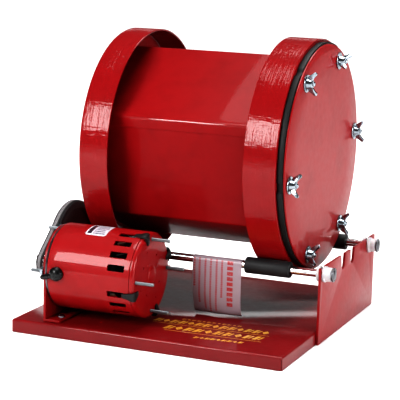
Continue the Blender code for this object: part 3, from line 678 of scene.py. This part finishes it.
def make_ornament():
    """Gold transfer on the tray: rows of lozenges and bars between fine lines."""
    bm = bmesh.new()
    top = TRAY_H + 0.02

    def shape(points):
        prism_into(bm, [P(x, y, top + 0.06) for x, y in points], [P(x, y, top) for x, y in points])

    def bar(x0, x1, y, half, lean):
        shape([(x0 - lean, y - half), (x1 - lean, y - half), (x1 + lean, y + half), (x0 + lean, y + half)])

    def row(x0, y0, x1, y1, count, height, width, lean):
        w, h = width / 2, height / 2
        for i in range(count):
            t = (i + 0.5) / count
            x, y = x0 + (x1 - x0) * t, y0 + (y1 - y0) * t
            if i % 3 == 1:
                shape([(x - w, y), (x, y - h), (x + w, y), (x, y + h)])
            else:
                bar(x - w, x + w * 0.1, y, h, lean)
                bar(x + w * 0.45, x + w, y, h * 0.8, lean)

    def line(x0, y0, x1, y1, width):
        shape([(x0, y0 - width / 2), (x1, y1 - width / 2), (x1, y1 + width / 2), (x0, y0 + width / 2)])

    row(126, 66.5, 247, 71, 14, 11.0, 6.6, 1.1)
    row(146, 46, 248, 50, 10, 12.0, 7.6, 1.2)
    row(186, 24.5, 236, 28.5, 9, 5.6, 4.2, 0.6)
    row(150, 79, 214, 81, 12, 3.0, 3.4, 0.4)
    line(128, 57.2, 250, 61.0, 0.8)
    line(150, 35.6, 250, 39.0, 0.8)
    finish_mesh("tray_transfer", bm, GOLD, "base", weld=False)


def make_rivet():
    profile = shifted(TRAY_H, [(0.7, 0), (0.65, 0.7), (0.35, 1.3), (0, 1.6), (-0.6, 1.6), (-0.6, 0)])
    swung("tray_rivet", profile, P(84.9, 29.4, 0), UPWARDS, RED_SHEET, steps=20)


# ---------------- end plates
def slot_outline(y, bottom, half=5.0, mouth=6.8):
    return [(y + mouth, PLATE_TOP), *arc((y, bottom + half), half, 0, -180, 12), (y - mouth, PLATE_TOP)]


def plate_top():
    """The plate's top edge from back to front, with its two shaft slots and two spare ones."""
    points = slot_outline(BACK_Y, SHAFT_Z - 5.0)
    for y in reversed(SPARE_SLOTS):
        points += slot_outline(y, 61.5)
    return points + slot_outline(FRONT_Y, SHAFT_Z - 5.0)


def make_right_plate():
    front, back = RIGHT_LOW.y, RIGHT_HIGH.y
    edge = [(front, 0), (back, 0), (back, PLATE_TOP), *plate_top(), (front, PLATE_TOP)]
    sheet("right_plate", [edge], RIGHT_LOW.x, RIGHT_HIGH.x, RED_SHEET, "base", "right_end_plate", 0.35)


def make_left_plate():
    """The motor bracket: a round ear for the motor, shaft slots, and a foot screwed to the tray."""
    x0, x1 = LEFT_LOW.x, LEFT_LOW.x + PLATE_T
    front, back, foot_z = LEFT_LOW.y, LEFT_HIGH.y, LEFT_LOW.z
    ear_r = 40.5
    ear_end = math.degrees(math.asin((PLATE_TOP - MOTOR_Z) / ear_r))
    ear_start = math.degrees(math.acos((front - MOTOR_Y) / ear_r))
    ear = arc(MOTOR, ear_r, ear_end, ear_start - 1, 40)
    edge = [(front, foot_z), (back, foot_z), (back, PLATE_TOP), *plate_top(), *ear, (front, ear[-1][1] - 2)]
    holes = [ring(MOTOR, 12.5, 36)]
    holes += [ring(polar(MOTOR, STUD_CIRCLE, 90 * quarter), STUD_HOLE_R, 18) for quarter in range(4)]
    holes += [ring(polar(MOTOR, 35.8, degrees), 2.3, 18) for degrees in (158, 68)]
    plate = sheet("motor_bracket", [edge, *holes], x0, x1, RED_SHEET, "base", "left_end_plate", 0.35)
    foot = fillet([(front, foot_z), (back - 2, foot_z), (back - 2, foot_z + 2.6), (front, foot_z + 2.6)],
                  0.4, 2)
    combine(plate, [cutter(sheet_bmesh([foot], x0 + 0.6, LEFT_HIGH.x, 0.3))], "UNION", 40)
    combine(plate, foot_screw_holes(5, 25), "DIFFERENCE", 40)


# ---------------- bushings, shafts, sleeves
def make_bushing(node, plate_x, centre, way):
    """A flanged nylon bushing. way is 1 where its barrel points to +x."""
    inside = plate_x if way > 0 else plate_x + PLATE_T
    flange = [(-3.4, 6.9), (-3.1, 7.6), (-0.6, 7.6), (-0.3, 7.4), (-0.3, 4.7)]
    barrel = [(0.3, 4.7), (0.3, 7.6), (0.6, 7.9), (2.4, 7.9), (2.9, 7.5), (3.3, 7.05), (8.2, 6.8), (8.8, 6.4),
              (9.0, 6.0), (9.0, SHAFT_BORE + 0.5), (8.5, SHAFT_BORE)]
    bore = [(-2.9, SHAFT_BORE), (-3.4, SHAFT_BORE + 0.5)]
    profile = shifted(inside, flange + shifted(PLATE_T, barrel) + bore, way)
    turned(f"{node}_moulding", profile, centre, NYLON, "base", node, 48, 38)


def round_part(node):
    """Both ends, the axis and the radius of a round CAD node that lies along x."""
    low, high = size_of(node)
    return low.x, high.x, tuple(((low + high) / 2).yz), (high.z - low.z) / 2


def make_shaft(node, body):
    x0, x1, centre, radius = round_part(node)
    c = 0.7
    profile = [(x1, 0), (x1, radius - c), (x1 - c, radius), (x0 + c, radius), (x0, radius - c), (x0, 0)]
    turned(f"{node}_bar", profile, centre, GROUND_STEEL, body, node, 48)


def make_sleeve(node, body):
    x0, x1, centre, radius = round_part(node)
    end = [(x1 - 0.5, SHAFT_BORE), (x1, SHAFT_BORE + 0.4), (x1, radius - 1.0), (x1 - 0.35, radius - 0.3),
           (x1 - 1.1, radius)]
    other = [(x0 + x1 - x, r) for x, r in reversed(end)]
    turned(f"{node}_rubber", end + other, centre, RUBBER, body, node, 56, 45)


def make_push_nut(node, body, way):
    """A capped push nut: a dome on a sprung collar with six slits. way is 1 where its tip is at +x."""
    x0, x1, centre, _ = round_part(node)
    tip = x1 if way > 0 else x0
    steps = [(0, 0), (0.05, 1.8), (0.35, 3.4), (0.85, 4.5), (1.15, 4.9), (1.05, 5.6), (1.0, 6.6), (1.25, 7.0),
             (2.3, 7.0), (2.4, 6.8), (2.4, 4.3), (1.3, 4.3), (1.3, 0)]
    nut = turned(f"{node}_cap", shifted(tip, steps, -way), centre, BLACKENED, body, node, 48)
    out = Matrix.Translation((0, 0, 6.4 * MM))
    slits = [cutter(box_bmesh((0.7, 0.8, 1.8), placed(P(tip - way, *centre), 60 * i + 15) @ out))
             for i in range(6)]
    combine(nut, slits, "DIFFERENCE")


# ---------------- pulleys and belt
def make_pulley(node, centre, body, mat, groove, bore, hub_r, hub_x, web):
    """A flanged pulley. A web stands between the rim and hub of the big one; the small one is solid."""
    x0, x1 = size_of(node)[0].x, BELT_X1 + 1.2
    rim = [(0, groove + 1.5, 0.3), (0.5, groove + 2.0, 0.2), (1.0, groove + 1.8, 0.2), (1.2, groove, 0.2)]
    profile = shifted(x1, rim, -1) + shifted(x0, rim[::-1])
    middle = (x0 + x1) / 2
    if web:
        profile += [(x0, groove - 4.5), (middle - 1.2, groove - 6), (middle - 1.2, hub_r + 1), (x0, hub_r),
                    (x0, bore), (hub_x, bore), (hub_x, hub_r), (middle + 1.2, hub_r + 1),
                    (middle + 1.2, groove - 6), (x1, groove - 4.5)]
    else:
        profile += [(x0, bore), (hub_x, bore), (hub_x, hub_r), (x1, hub_r)]
    turned(f"{node}_wheel", fillet(profile, 0.4, 2), centre, mat, body, node, 96 if web else 48, 38)


def belt_path(lift):
    """The belt's closed path round both grooves, lift above them."""
    gap = Vector(FRONT) - Vector(MOTOR)
    heading = math.degrees(math.atan2(gap.y, gap.x))
    large, small = BIG_GROOVE_R + lift, SMALL_GROOVE_R + lift
    lean = math.degrees(math.asin((large - small) / gap.length))
    top, bottom = heading + 90 + lean, heading - 90 - lean
    run = [arc(FRONT, large, bottom, top, 72), arc(MOTOR, small, top, bottom + 360, 24)]

    def straight(a, b, count=24):
        return [tuple(Vector(a).lerp(Vector(b), i / count)) for i in range(1, count)]

    return run[0] + straight(run[0][-1], run[1][0]) + run[1] + straight(run[1][-1], run[0][0])


def make_belt():
    """A flat belt: black body with rounded shoulders and a ribbed grey face."""
    path = belt_path(GAP)
    x0, x1 = BELT_X0, BELT_X1
    section = [(x0 + 0.2, 0), (x0, 0.4), (x0, 2.2), (x0 + 0.6, 2.7), (x0 + 1.3, 2.3), (x0 + 1.7, 2.8),
               (x1 - 1.7, 2.8), (x1 - 1.3, 2.3), (x1 - 0.6, 2.7), (x1, 2.2), (x1, 0.4), (x1 - 0.2, 0)]
    ribbed_face = 5
    bm = bmesh.new()
    uv = bm.loops.layers.uv.new("UVMap")
    count = len(path)
    rows, along = [], [0.0]
    for i, point in enumerate(path):
        before, after = Vector(path[i - 1]), Vector(path[(i + 1) % count])
        tangent = (after - before).normalized()
        out = Vector((tangent.y, -tangent.x))
        rows.append([bm.verts.new(P(x, *(Vector(point) + out * h))) for x, h in section])
        along.append(along[-1] + (after - Vector(point)).length)
    for i in range(count):
        j = (i + 1) % count
        start, end = along[i] / 100, along[i + 1] / 100
        for k, (x, _) in enumerate(section):
            m = (k + 1) % len(section)
            v, next_v = x / 10, section[m][0] / 10
            face = uv_quad(bm, uv, ((rows[i][k], start, v), (rows[j][k], end, v),
                                    (rows[j][m], end, next_v), (rows[i][m], start, next_v)))
            face.material_index = 1 if k == ribbed_face else 0
    finish_mesh("flat_belt", bm, [BELT_EDGE, BELT_FACE], "base", "drive_belt", 35, weld=False)


# ---------------- motor
def make_motor_shell():
    """The motor's can, with four groups of four vents and a hole for the cord."""
    inner = MOTOR_R - 1.4
    x0, x1 = SHELL_X0, SHELL_X1
    profile = [(x1, MOTOR_R - 0.5), (x1 - 0.25, MOTOR_R - 0.1), (x1 - 0.7, MOTOR_R),
               *[(x1 - 10 * i, MOTOR_R) for i in range(1, 9)],
               (x0 + 0.7, MOTOR_R), (x0 + 0.2, MOTOR_R - 0.15), (x0, MOTOR_R - 0.6), (x0, inner), (x1, inner)]
    shell = turned("motor_housing", profile, MOTOR, RED_MOTOR, "base", "motor_shell", 120)
    cuts = []
    outline = fillet([(VENT_X0, -3.2), (VENT_X1, -3.2), (VENT_X1, 3.2), (VENT_X0, 3.2)], 0.9, 3)
    for degrees in [90 * quarter + 18 * step for quarter in range(4) for step in (1, 2, 3, 4)]:
        bm = bmesh.new()
        prism_into(bm, *[[(x * MM, y * MM, z * MM) for x, y in outline] for z in (-6, 6)])
        place = placed(P(0, *polar(MOTOR, MOTOR_R, degrees)), degrees - 90)
        bmesh.ops.transform(bm, matrix=place, verts=bm.verts)
        cuts.append(cutter(bm))
    cuts.append(drill(placed(P(GROMMET.x, MOTOR_Y - MOTOR_R, GROMMET.z), 90), 4.5, 20, 24))
    combine(shell, cuts, "DIFFERENCE", 32)


def make_end_cap():
    """The pressed end cap: rounded shoulder, raised bearing boss, stud seats and small holes."""
    x0, face = CAP_X0, CAP_FACE
    profile = shifted(face, [(1.6, 0), (1.6, 6.6), (1.35, 7.4), (0.6, 8.3), (0.1, 9.4), (0, 10.5), (0, 25.0),
                             (0, 38.9), (-0.15, 39.8), (-0.6, 40.8), (-1.4, 41.7), (-2.4, MOTOR_R - 0.1),
                             (-3.0, MOTOR_R)])
    profile += [(x0 + 0.3, MOTOR_R), (x0, MOTOR_R - 0.4), (x0, MOTOR_R - 1.8), (face - 2.2, 38.8),
                (face - 1.8, 11.2), (119.0, 11.2), (119.0, 8.6), (face - 1.8, 8.6), (face - 1.8, 0)]
    cap = turned("motor_cap", profile, MOTOR, RED_MOTOR, "base", "motor_end_cap", 120)
    cuts = []
    for i in range(4):
        cuts.append(hole(110, 150, polar(MOTOR, STUD_CIRCLE, 90 * i), STUD_HOLE_R))
        cuts.append(hole(110, 150, polar(MOTOR, 21.2, 60 + 90 * i), 1.3, 14))
        cuts.append(hole(face - 0.5, 150, polar(MOTOR, 27.0, 24 + 90 * i), 0.8, 12))
    combine(cap, cuts, "DIFFERENCE")
    dimple = shifted(face, [(0.7, 0), (0.6, 0.9), (0.25, 1.6), (-0.3, 2.0), (-0.6, 0)])
    for i in range(4):
        turned(f"cap_dimple_{i + 1}", dimple, polar(MOTOR, 13.5, 35 + 90 * i), RED_MOTOR, "base", steps=20)


def make_end_bell():
    x0, boss = ends_of("motor_end_bell")
    x1 = SHELL_X0 - GAP
    profile = [(x1, MOTOR_R - 0.5), (x1 - 0.3, MOTOR_R - 0.3), (x0 + 0.4, MOTOR_R - 0.8),
               (x0, MOTOR_R - 1.3), (x0, 8.6), (boss, 8.6), (boss, 11.2), (x1, 11.2)]
    bell = turned("motor_bell", profile, MOTOR, BLACKENED, "base", "motor_end_bell", 96)
    holes = [hole(20, 60, polar(MOTOR, STUD_CIRCLE, 90 * i), STUD_HOLE_R) for i in range(4)]
    combine(bell, holes, "DIFFERENCE")


def make_studs():
    """The motor's through studs, each with a hexagonal nut behind the left plate."""
    stud_x0, stud_x1 = ends_of("motor_stud_1")
    x1 = LEFT_LOW.x - GAP
    x0 = x1 - 3.2
    for i in range(4):
        centre = polar(MOTOR, STUD_CIRCLE, 90 * i)
        threaded(f"clamp_stud_{i + 1}", stud_x0, stud_x1, centre, 1.8, 0.7, STUD_STEEL, "base",
                 f"motor_stud_{i + 1}", (46.0, 118.0), 0.22)
        bm = bmesh.new()
        spin_into(bm, [(x1, 4.6), (x1 - 0.5, 5.0), (x0 + 0.5, 5.0), (x0, 4.6), (x0, STUD_HOLE_R),
                       (x1, STUD_HOLE_R)], centre, 6, 30)
        finish_mesh(f"clamp_nut_{i + 1}", bm, ZINC, "base", f"stud_nut_{i + 1}", 20)


def make_clips():
    """Black clips: an arm on the shell that widens towards a hook over the cap's shoulder."""
    r, face = MOTOR_R + GAP, CAP_FACE + GAP
    start = VENT_X1 - 2.2
    hook_r = 33.5
    outline = fillet([(start, r), (start, r + 0.7), (start + 2.0, r + 1.0), (start + 4.2, r + 1.3),
                      (start + 6.0, r + 1.5), (face - 2.5, r + 2.4), (face + 0.4, r + 2.3),
                      (face + 1.9, r + 0.9), (face + 1.8, 38.0), (face + 1.3, hook_r), (face, hook_r),
                      (face, r)], 0.5, 2)
    for number in range(4):
        degrees = 90 * number + 18
        bm = bmesh.new()
        prism_into(bm, *[[(x * MM, side * 4.2 * MM, z * MM) for x, z in outline] for side in (-1, 1)])
        for vert in bm.verts:
            along, height = vert.co.x / MM - start, vert.co.z / MM
            if height < r - 1:
                vert.co.y *= 0.40 + 0.50 * max(0.0, (height - hook_r) / (r - hook_r - 1))
            else:
                vert.co.y *= 0.55 + 0.45 * clamp((along - 5) / 4)
        bmesh.ops.transform(bm, matrix=placed(P(0, *MOTOR), degrees - 90), verts=bm.verts)
        clip = finish_mesh(f"shoulder_clip_{number + 1}", bm, PLASTIC, "base", f"cap_clip_{number + 1}")
        bevelled(clip, 0.45)


def clamp(value):
    return max(0.0, min(1.0, value))


def make_grommet():
    back = MOTOR_Y - MOTOR_R - GAP
    depth = back - size_of("cord_grommet")[0].y
    profile = shifted(depth, [(0, 0), (0, 2.4), (-0.4, 3.6), (-1.4, 5.2), (-2.6, 6.2), (-3.4, 6.9),
                              (-4.2, 7.0), (-4.6, 6.5), (-5.0, 6.4), (-5.4, 7.0)]) + [(0, 7.0), (0, 0)]
    swung("strain_relief", profile, P(GROMMET.x, back, GROMMET.z), FORWARDS, CORD_RUBBER, "cord_grommet", 40)


def make_cord():
    """The start of the mains cord, which bends back beside the left plate."""
    way = [(48.0, -1.6, 62.9), (44.6, -1.5, 62.2), (41.2, -1.0, 61.4), (38.8, -0.7, 60.6), (36.2, 0.2, 59.7),
           (33.7, 1.4, 58.9)]
    curve = bpy.data.curves.new("mains_cord", "CURVE")
    curve.dimensions = "3D"
    curve.bevel_depth = 2.55 * MM
    curve.bevel_resolution = 6
    curve.use_fill_caps = True
    spline = curve.splines.new("NURBS")
    spline.points.add(len(way) - 1)
    for point, place in zip(spline.points, way):
        point.co = (*P(*place), 1)
    spline.use_endpoint_u = True
    spline.order_u = 4
    spline.resolution_u = 6
    finish_mesh("mains_cord", curve_bmesh(curve), CORD_RUBBER, "base", "power_cord")


def make_label_patch():
    """The curved data label on the shell, with rounded corners."""
    x0, x1, low, high = 67.0, 89.5, 82.0, 117.0
    across, around, corner = 20, 16, 2.2
    bm = bmesh.new()
    uv = bm.loops.layers.uv.new("UVMap")

    def grid_point(i, j, radius):
        u, v = i / across, j / around
        x = x0 + (x1 - x0) * u
        near = min(x - x0, x1 - x, corner)
        inset = corner - math.sqrt(max(0.0, corner**2 - (corner - near) ** 2))
        shrink = math.degrees(inset / MOTOR_R)
        degrees = (high - shrink) + (low - high + 2 * shrink) * v
        return bm.verts.new(P(x, *polar(MOTOR, radius, degrees))), u, v

    top, under = [[[grid_point(i, j, MOTOR_R + lift) for j in range(around + 1)] for i in range(across + 1)]
                  for lift in (0.12, 0.02)]
    for rows in (top, under):
        for i in range(across):
            for j in range(around):
                uv_quad(bm, uv, (rows[i][j], rows[i + 1][j], rows[i + 1][j + 1], rows[i][j + 1]))
    rim = [(i, 0) for i in range(across)] + [(across, j) for j in range(around)]
    rim += [(i, around) for i in range(across, 0, -1)] + [(0, j) for j in range(around, 0, -1)]
    for (i, j), (m, n) in zip(rim, rim[1:] + rim[:1]):
        uv_quad(bm, uv, (top[i][j], top[m][n], under[m][n], under[i][j]))
    bmesh.ops.recalc_face_normals(bm, faces=bm.faces)
    finish_mesh("motor_label", bm, LABEL, "base", weld=False)


def make_motor_inside():
    """What shows through the vents: the CAD's own core, winding, fan, rotor and bearings, and the shaft."""
    for node, mat in (("stator_core", LAMINATED), ("field_winding", COPPER), ("rotor_core", CAST),
                      ("cooling_fan", PLASTIC), ("motor_left_bearing", BRONZE),
                      ("motor_right_bearing", BRONZE)):
        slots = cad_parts[node].data.materials
        for i in range(len(slots)):
            slots[i] = mat
    make_shaft("motor_shaft", "rotor")


# ---------------- drum
def hex_outline(radius, bend, lap=False):
    """The barrel's hexagon with rounded bends; with lap, its end laps over below the front bend."""
    corners = [polar(DRUM, radius, DRUM_TURN + 30 + 60 * i) for i in range(6)]
    if not lap:
        return fillet(corners, bend, 5)
    front = Vector(corners[2])
    along = (Vector(corners[3]) - front).normalized()
    out = Vector((-along.y, along.x))
    if out.dot(front - Vector(DRUM)) < 0:
        out = -out
    before = (Vector(corners[1]) - front).normalized()
    end = front + along * 10.8
    lap_points = [(*(front + before * 7.0), 0.0), (*(front + before * 4.2 + out * 0.3), 0.8),
                  (*(front + out * SHEET_T * 0.9 + before * 0.6), 3.0),
                  (*(end + out * SHEET_T * 0.95), 0.35), (*end, 0.15)]
    return fillet(corners[:2] + lap_points + corners[3:], bend, 5)


def make_barrel():
    """The hexagonal barrel, with a glossier strip where the sheet rounds the front bend."""
    x0, x1 = ends_of("drum_barrel")
    loops = [hex_outline(HEX_R, 3.2, True), hex_outline(HEX_R - SHEET_T / FLAT, 1.8)]
    barrel = sheet("hex_barrel", loops, x0, x1, [RED_BARREL, RED_BEND], "drum", "drum_barrel", 0.1, 30)
    for face in barrel.data.polygons:
        rise = math.degrees(math.atan2(face.normal.z, -face.normal.y))
        if abs(face.normal.x) < 0.5 and 0 < rise < 46:
            face.material_index = 1


def rim_at(x1, inner):
    """A band's rounded edge, from its inner face out to the ring's radius."""
    return [(x1 - 0.5, inner), (x1 - 0.1, inner + 0.3), (x1, inner + SHEET_T / 2), (x1 - 0.1, RING_R - 0.3),
            (x1 - 0.5, RING_R)]


def make_rings():
    """The left end, a pressed pan with a deep rim, and the plain band at the right end."""
    inner = RING_R - SHEET_T
    x0, x1 = ends_of("left_ring")
    bend_r, bend_at = 3.0, (x0 + 3.0, RING_R - 3.0)
    pressed = [(0, 60), (0.6, 66), (0.6, 88), (0, 94)]
    profile = [(x0, 0), *shifted(x0, pressed)]
    profile += [*arc(bend_at, bend_r, 180, 90, 6), (x0 + 12, RING_R), (x0 + 22, RING_R)]
    profile += rim_at(x1, inner)[::-1]
    profile += arc(bend_at, bend_r - SHEET_T, 90, 180, 4)
    profile += shifted(x0 + SHEET_T, pressed[::-1]) + [(x0 + SHEET_T, 0)]
    turned("left_drum_end", profile, DRUM, RED_ROLLED, "drum", "left_ring", 144)
    x0, x1 = ends_of("right_ring")
    rim = rim_at(x1, inner)
    band = rim + [(x1 - 11, RING_R), (x1 - 22, RING_R)] + [(x0 + x1 - x, r) for x, r in reversed(rim)]
    turned("right_drum_ring", band, DRUM, RED_ROLLED, "drum", "right_ring", 144)


def make_stud_flange():
    x0, x1 = ends_of("stud_flange")
    mouth = hex_outline((HEX_FLAT + SHEET_T + GAP) / FLAT, 3.4)
    sheet("lid_flange", [ring(DRUM, half_depth("stud_flange"), 144), mouth], x0, x0 + 1.8, RED_ROLLED,
          "drum", "stud_flange", 0.2)
    for i, centre in enumerate(BOLTS, 1):
        threaded(f"lid_stud_{i}", x0 + 0.9, x1, centre, 2.35, 0.8, ZINC, "drum", cut=0.3)


def make_liner():
    """The rubber liner: a hexagonal cup whose flange seals the lid, notched beside each stud."""
    x0, x1 = ends_of("rubber_liner")
    flange_x0 = size_of("stud_flange")[0].x + 1.8 + GAP
    outer = half_depth("rubber_liner")
    rim = []
    for degrees in range(360):
        to_bolt = (degrees - DRUM_TURN + 30) % 60 - 30
        lobe = 0.0 if -2.6 < to_bolt < 2.2 else (2.0 if 2.2 <= to_bolt < 30 else 1.3)
        rim.append(polar(DRUM, outer - 2.0 + lobe, degrees))
    flat = HEX_FLAT - SHEET_T - GAP
    wall = 4.0
    liner = sheet("liner_moulding", [rim], flange_x0, x1, LINER_RUBBER, "drum", "rubber_liner", 0.35)
    cup = cutter(sheet_bmesh([hex_outline(flat / FLAT, 3.0)], x0, x1 - 1.0, 0.4))
    combine(liner, [cup], "UNION")
    hollow = cutter(sheet_bmesh([hex_outline((flat - wall) / FLAT, 6.0)], x0 + wall, x1 + 9, 2.5))
    holes = [hole(240, 262, centre, LID_HOLE_R) for centre in BOLTS]
    combine(liner, [hollow, *holes], "DIFFERENCE")


def make_lid():
    x0, x1 = LID_X0, LID_X1
    radius = half_depth("lid")
    profile = [(x1, 0), (x1, 40), (x1, 80), (x1, radius - 0.8), (x1 - 0.2, radius - 0.25), (x1 - 0.7, radius),
               (x0 + 0.4, radius), (x0, radius - 0.4), (x0, 0)]
    lid = turned("drum_lid", profile, DRUM, RED_LID, "lid", "lid", 144)
    combine(lid, [hole(240, 270, centre, LID_HOLE_R) for centre in BOLTS], "DIFFERENCE")


def wing_outline():
    """One wing in the plane of the nut's axis, as (x along the stud, radius) points."""
    return fillet([(1.6, 2.9, 0.2), (1.6, 5.4, 1.0), (2.6, 7.6, 2.0), (5.2, 9.2, 3.0), (7.0, 10.4, 1.5),
                   (8.4, 11.7, 1.4), (10.6, 11.4, 1.5), (11.0, 9.0, 1.5), (8.8, 6.9, 2.0), (7.4, 4.8, 1.8),
                   (6.4, 2.9, 0.2)], 0.5, 4)


def make_wing_nuts():
    """Six cast wing nuts, each with a washer that rides with it."""
    x0 = LID_X1 + GAP
    bore = 2.65
    outline = wing_outline()
    profile = fillet([(7.0, 3.6, 0.4), (5.8, 4.2, 0.5), (2.2, 5.2, 0.5), (1.25, 5.6, 0.2), (1.25, bore, 0),
                      (7.0, bore, 0)], 0.3, 2)
    washer = [(1.2, 8.5), (1.0, 8.75), (0.2, 8.75), (0, 8.5), (0, bore), (1.2, bore)]

    def wing(side, place):
        """One wing, which thins towards its tip."""
        bm = bmesh.new()
        prism_into(bm, *[[(x * MM, half_t * MM * (1.45 - 0.035 * r), side * r * MM) for x, r in outline]
                         for half_t in (-0.95, 0.95)])
        bmesh.ops.transform(bm, matrix=place, verts=bm.verts)
        return bevelled(cutter(bm), 0.35, 2, 50)

    for number, (centre, turn) in enumerate(zip(BOLTS, WING_TURNS), 1):
        body = f"wing_nut_{number}"
        nut = turned(f"{body}_casting", shifted(x0, profile), centre, ZINC, body, body, 32)
        place = placed(P(x0, *centre), turn)
        combine(nut, [wing(side, place) for side in (1, -1)], "UNION", 36)
        turned(f"washer_{number}", shifted(x0, washer), centre, ZINC, body, steps=40)


# ---------------- notice film over the drive shaft
def make_notice():
    """Creased film folded over the drive shaft; its front flap hangs and curls towards the back."""
    x0, x1 = 151.2, 204.0
    over_r = SHAFT_R + 0.5
    front_flap = [(4.9, 15.2), (1.9, 15.6), (-1.0, 18.0), (-2.4, 22.0), (-3.4, 28.0), (-4.0, 36.0),
                  (-4.5, 46.0), (-4.8, 56.0), (-4.9, 64.0)]
    back_flap = [(4.7, 62.0), (5.4, 52.0), (6.2, 42.0), (7.0, 33.0)]
    path = [(FRONT_Y + y, z) for y, z in front_flap]
    path += [polar(FRONT, over_r, degrees) for degrees in range(180, -1, -20)]
    path += [(FRONT_Y + y, z) for y, z in back_flap]
    lengths = [0.0]
    for a, b in zip(path, path[1:]):
        lengths.append(lengths[-1] + math.dist(a, b))
    front_length = lengths[12]
    columns = 36
    bm = bmesh.new()
    uv = bm.loops.layers.uv.new("UVMap")
    grid = []
    for i in range(columns + 1):
        u = i / columns
        row = []
        for (y, z), s in zip(path, lengths):
            low = clamp((62 - z) / 45)
            ripple = math.sin(u * 7.0 + z * 0.06) * 1.1 * low + math.sin(u * 15.0 - z * 0.11) * 0.4 * low
            x = x0 + (x1 - x0) * u + math.sin(z * 0.12) * 0.7 * low * (1 - u) - 1.6 * low * (u - 0.5)
            if s > front_length:
                x -= 5.5 * u * clamp((70 - z) / 8)
                ripple *= 0.6
            row.append((bm.verts.new(P(x, y + ripple, z)), u, s / front_length))
        grid.append(row)
    for a, b in zip(grid, grid[1:]):
        for j in range(len(path) - 1):
            uv_quad(bm, uv, (a[j], b[j], b[j + 1], a[j + 1]))
    film = finish_mesh("notice_film", bm, FILM, "base", "notice_tag", 180, weld=False)
    thick = film.modifiers.new("film", "SOLIDIFY")
    thick.thickness = 0.14 * MM
    thick.offset = 0
    apply(film, 60)


make_tray()
make_bracket_screws()
make_ornament()
make_rivet()
make_right_plate()
make_left_plate()
for side_name, plate_at, side_way in (("left", LEFT_LOW.x, -1), ("right", RIGHT_LOW.x, 1)):
    make_bushing(f"front_{side_name}_bushing", plate_at, FRONT, side_way)
    make_bushing(f"back_{side_name}_bushing", plate_at, BACK, side_way)
make_shaft("drive_shaft", "drive_roller")
make_shaft("idler_shaft", "idler_roller")
for shaft_name, sleeve_body in (("front", "drive_roller"), ("back", "idler_roller")):
    make_sleeve(f"{shaft_name}_left_sleeve", sleeve_body)
    make_sleeve(f"{shaft_name}_right_sleeve", sleeve_body)
make_push_nut("front_push_nut", "drive_roller", 1)
make_push_nut("back_right_push_nut", "idler_roller", 1)
make_push_nut("back_left_push_nut", "idler_roller", -1)
make_pulley("drive_pulley", FRONT, "drive_roller", CAST_DARK, BIG_GROOVE_R, SHAFT_BORE, 9.0, 22.9, True)
make_pulley("motor_pulley", MOTOR, "rotor", GROUND_STEEL, SMALL_GROOVE_R, 3.475, 7.0, 22.5, False)
make_belt()
make_motor_shell()
make_end_cap()
make_end_bell()
make_studs()
make_clips()
make_grommet()
make_cord()
make_label_patch()
make_motor_inside()
make_barrel()
make_rings()
make_stud_flange()
make_liner()
make_lid()
make_wing_nuts()
make_notice()


# ---------------- studio
def make_floor():
    """A wide plain pale floor."""
    n = Nodes("pale_floor", rough=0.9, spec=0.0)
    n.colour(n.noise(3, 2), [(0.3, (0.90, 0.90, 0.90)), (0.7, (0.91, 0.91, 0.91))])
    bm = bmesh.new()
    bm.faces.new([bm.verts.new((x, y, -0.0004)) for x, y in ((-60, -60), (60, -60), (60, 60), (-60, 60))])
    floor = mesh_object("studio_floor", bm)
    floor.data.materials.append(n.mat)


def soft_sky(power, spread):
    """An even soft light from straight above, the same over the whole floor."""
    light = bpy.data.lights.new("soft_sky", "SUN")
    light.energy = power
    light.angle = math.radians(spread)
    add("soft_sky", light).location.z = 3


def soft_light(name, azimuth, elevation, distance, width, height, power):
    """An area light aimed at the drum. Azimuth counts from the back (+y) towards the lid (+x)."""
    a, e = math.radians(azimuth), math.radians(elevation)
    away = Vector((math.sin(a) * math.cos(e), math.cos(a) * math.cos(e), math.sin(e)))
    light = bpy.data.lights.new(name, "AREA")
    light.shape = "RECTANGLE"
    light.size, light.size_y = width, height
    light.energy = power
    facing = away.to_track_quat("Z", "Y").to_matrix().to_4x4()
    add(name, light).matrix_world = Matrix.Translation(P(150, 150, 120) + away * distance) @ facing


def make_world():
    """Plain dim grey all round."""
    world = bpy.data.worlds.new("studio")
    bpy.context.scene.world = world
    world.use_nodes = True
    background = world.node_tree.nodes["Background"]
    background.inputs["Color"].default_value = (0.05, 0.05, 0.052, 1)
    background.inputs["Strength"].default_value = 1.0


def make_camera():
    """A long lens to the right of the front and a little above, turned slightly about its own axis."""
    place = P(736.9, -1281.2, 422.4)
    azimuth, elevation, roll = 22.64, 10.99, 1.46
    camera = bpy.data.cameras.new("camera")
    camera.sensor_width = 36
    camera.lens = 137.8
    camera.shift_x = -0.0076
    obj = add("camera", camera)
    tilt = Matrix.Rotation(math.radians(90 - elevation), 4, "X")
    obj.matrix_world = placed(place, azimuth, "Z") @ tilt @ Matrix.Rotation(math.radians(roll), 4, "Z")
    bpy.context.scene.camera = obj


make_floor()
make_world()
soft_light("key_left", -155.5, 27, 1.8, 0.62, 0.70, 25)
soft_light("side_right", 97, 13, 2.2, 1.2, 0.5, 27)
soft_light("strip_behind", -22.6, 14.9, 10, 8, 0.24, 17)
soft_light("low_strip_behind", -22.6, 12.6, 10, 8, 0.57, 6.5)
soft_light("high_behind", 8, 58, 2.4, 1.5, 0.7, 26)
soft_sky(2.6, 36)
make_camera()
bpy.context.scene.view_settings.view_transform = "Standard"
bpy.context.scene.view_settings.look = "High Contrast"
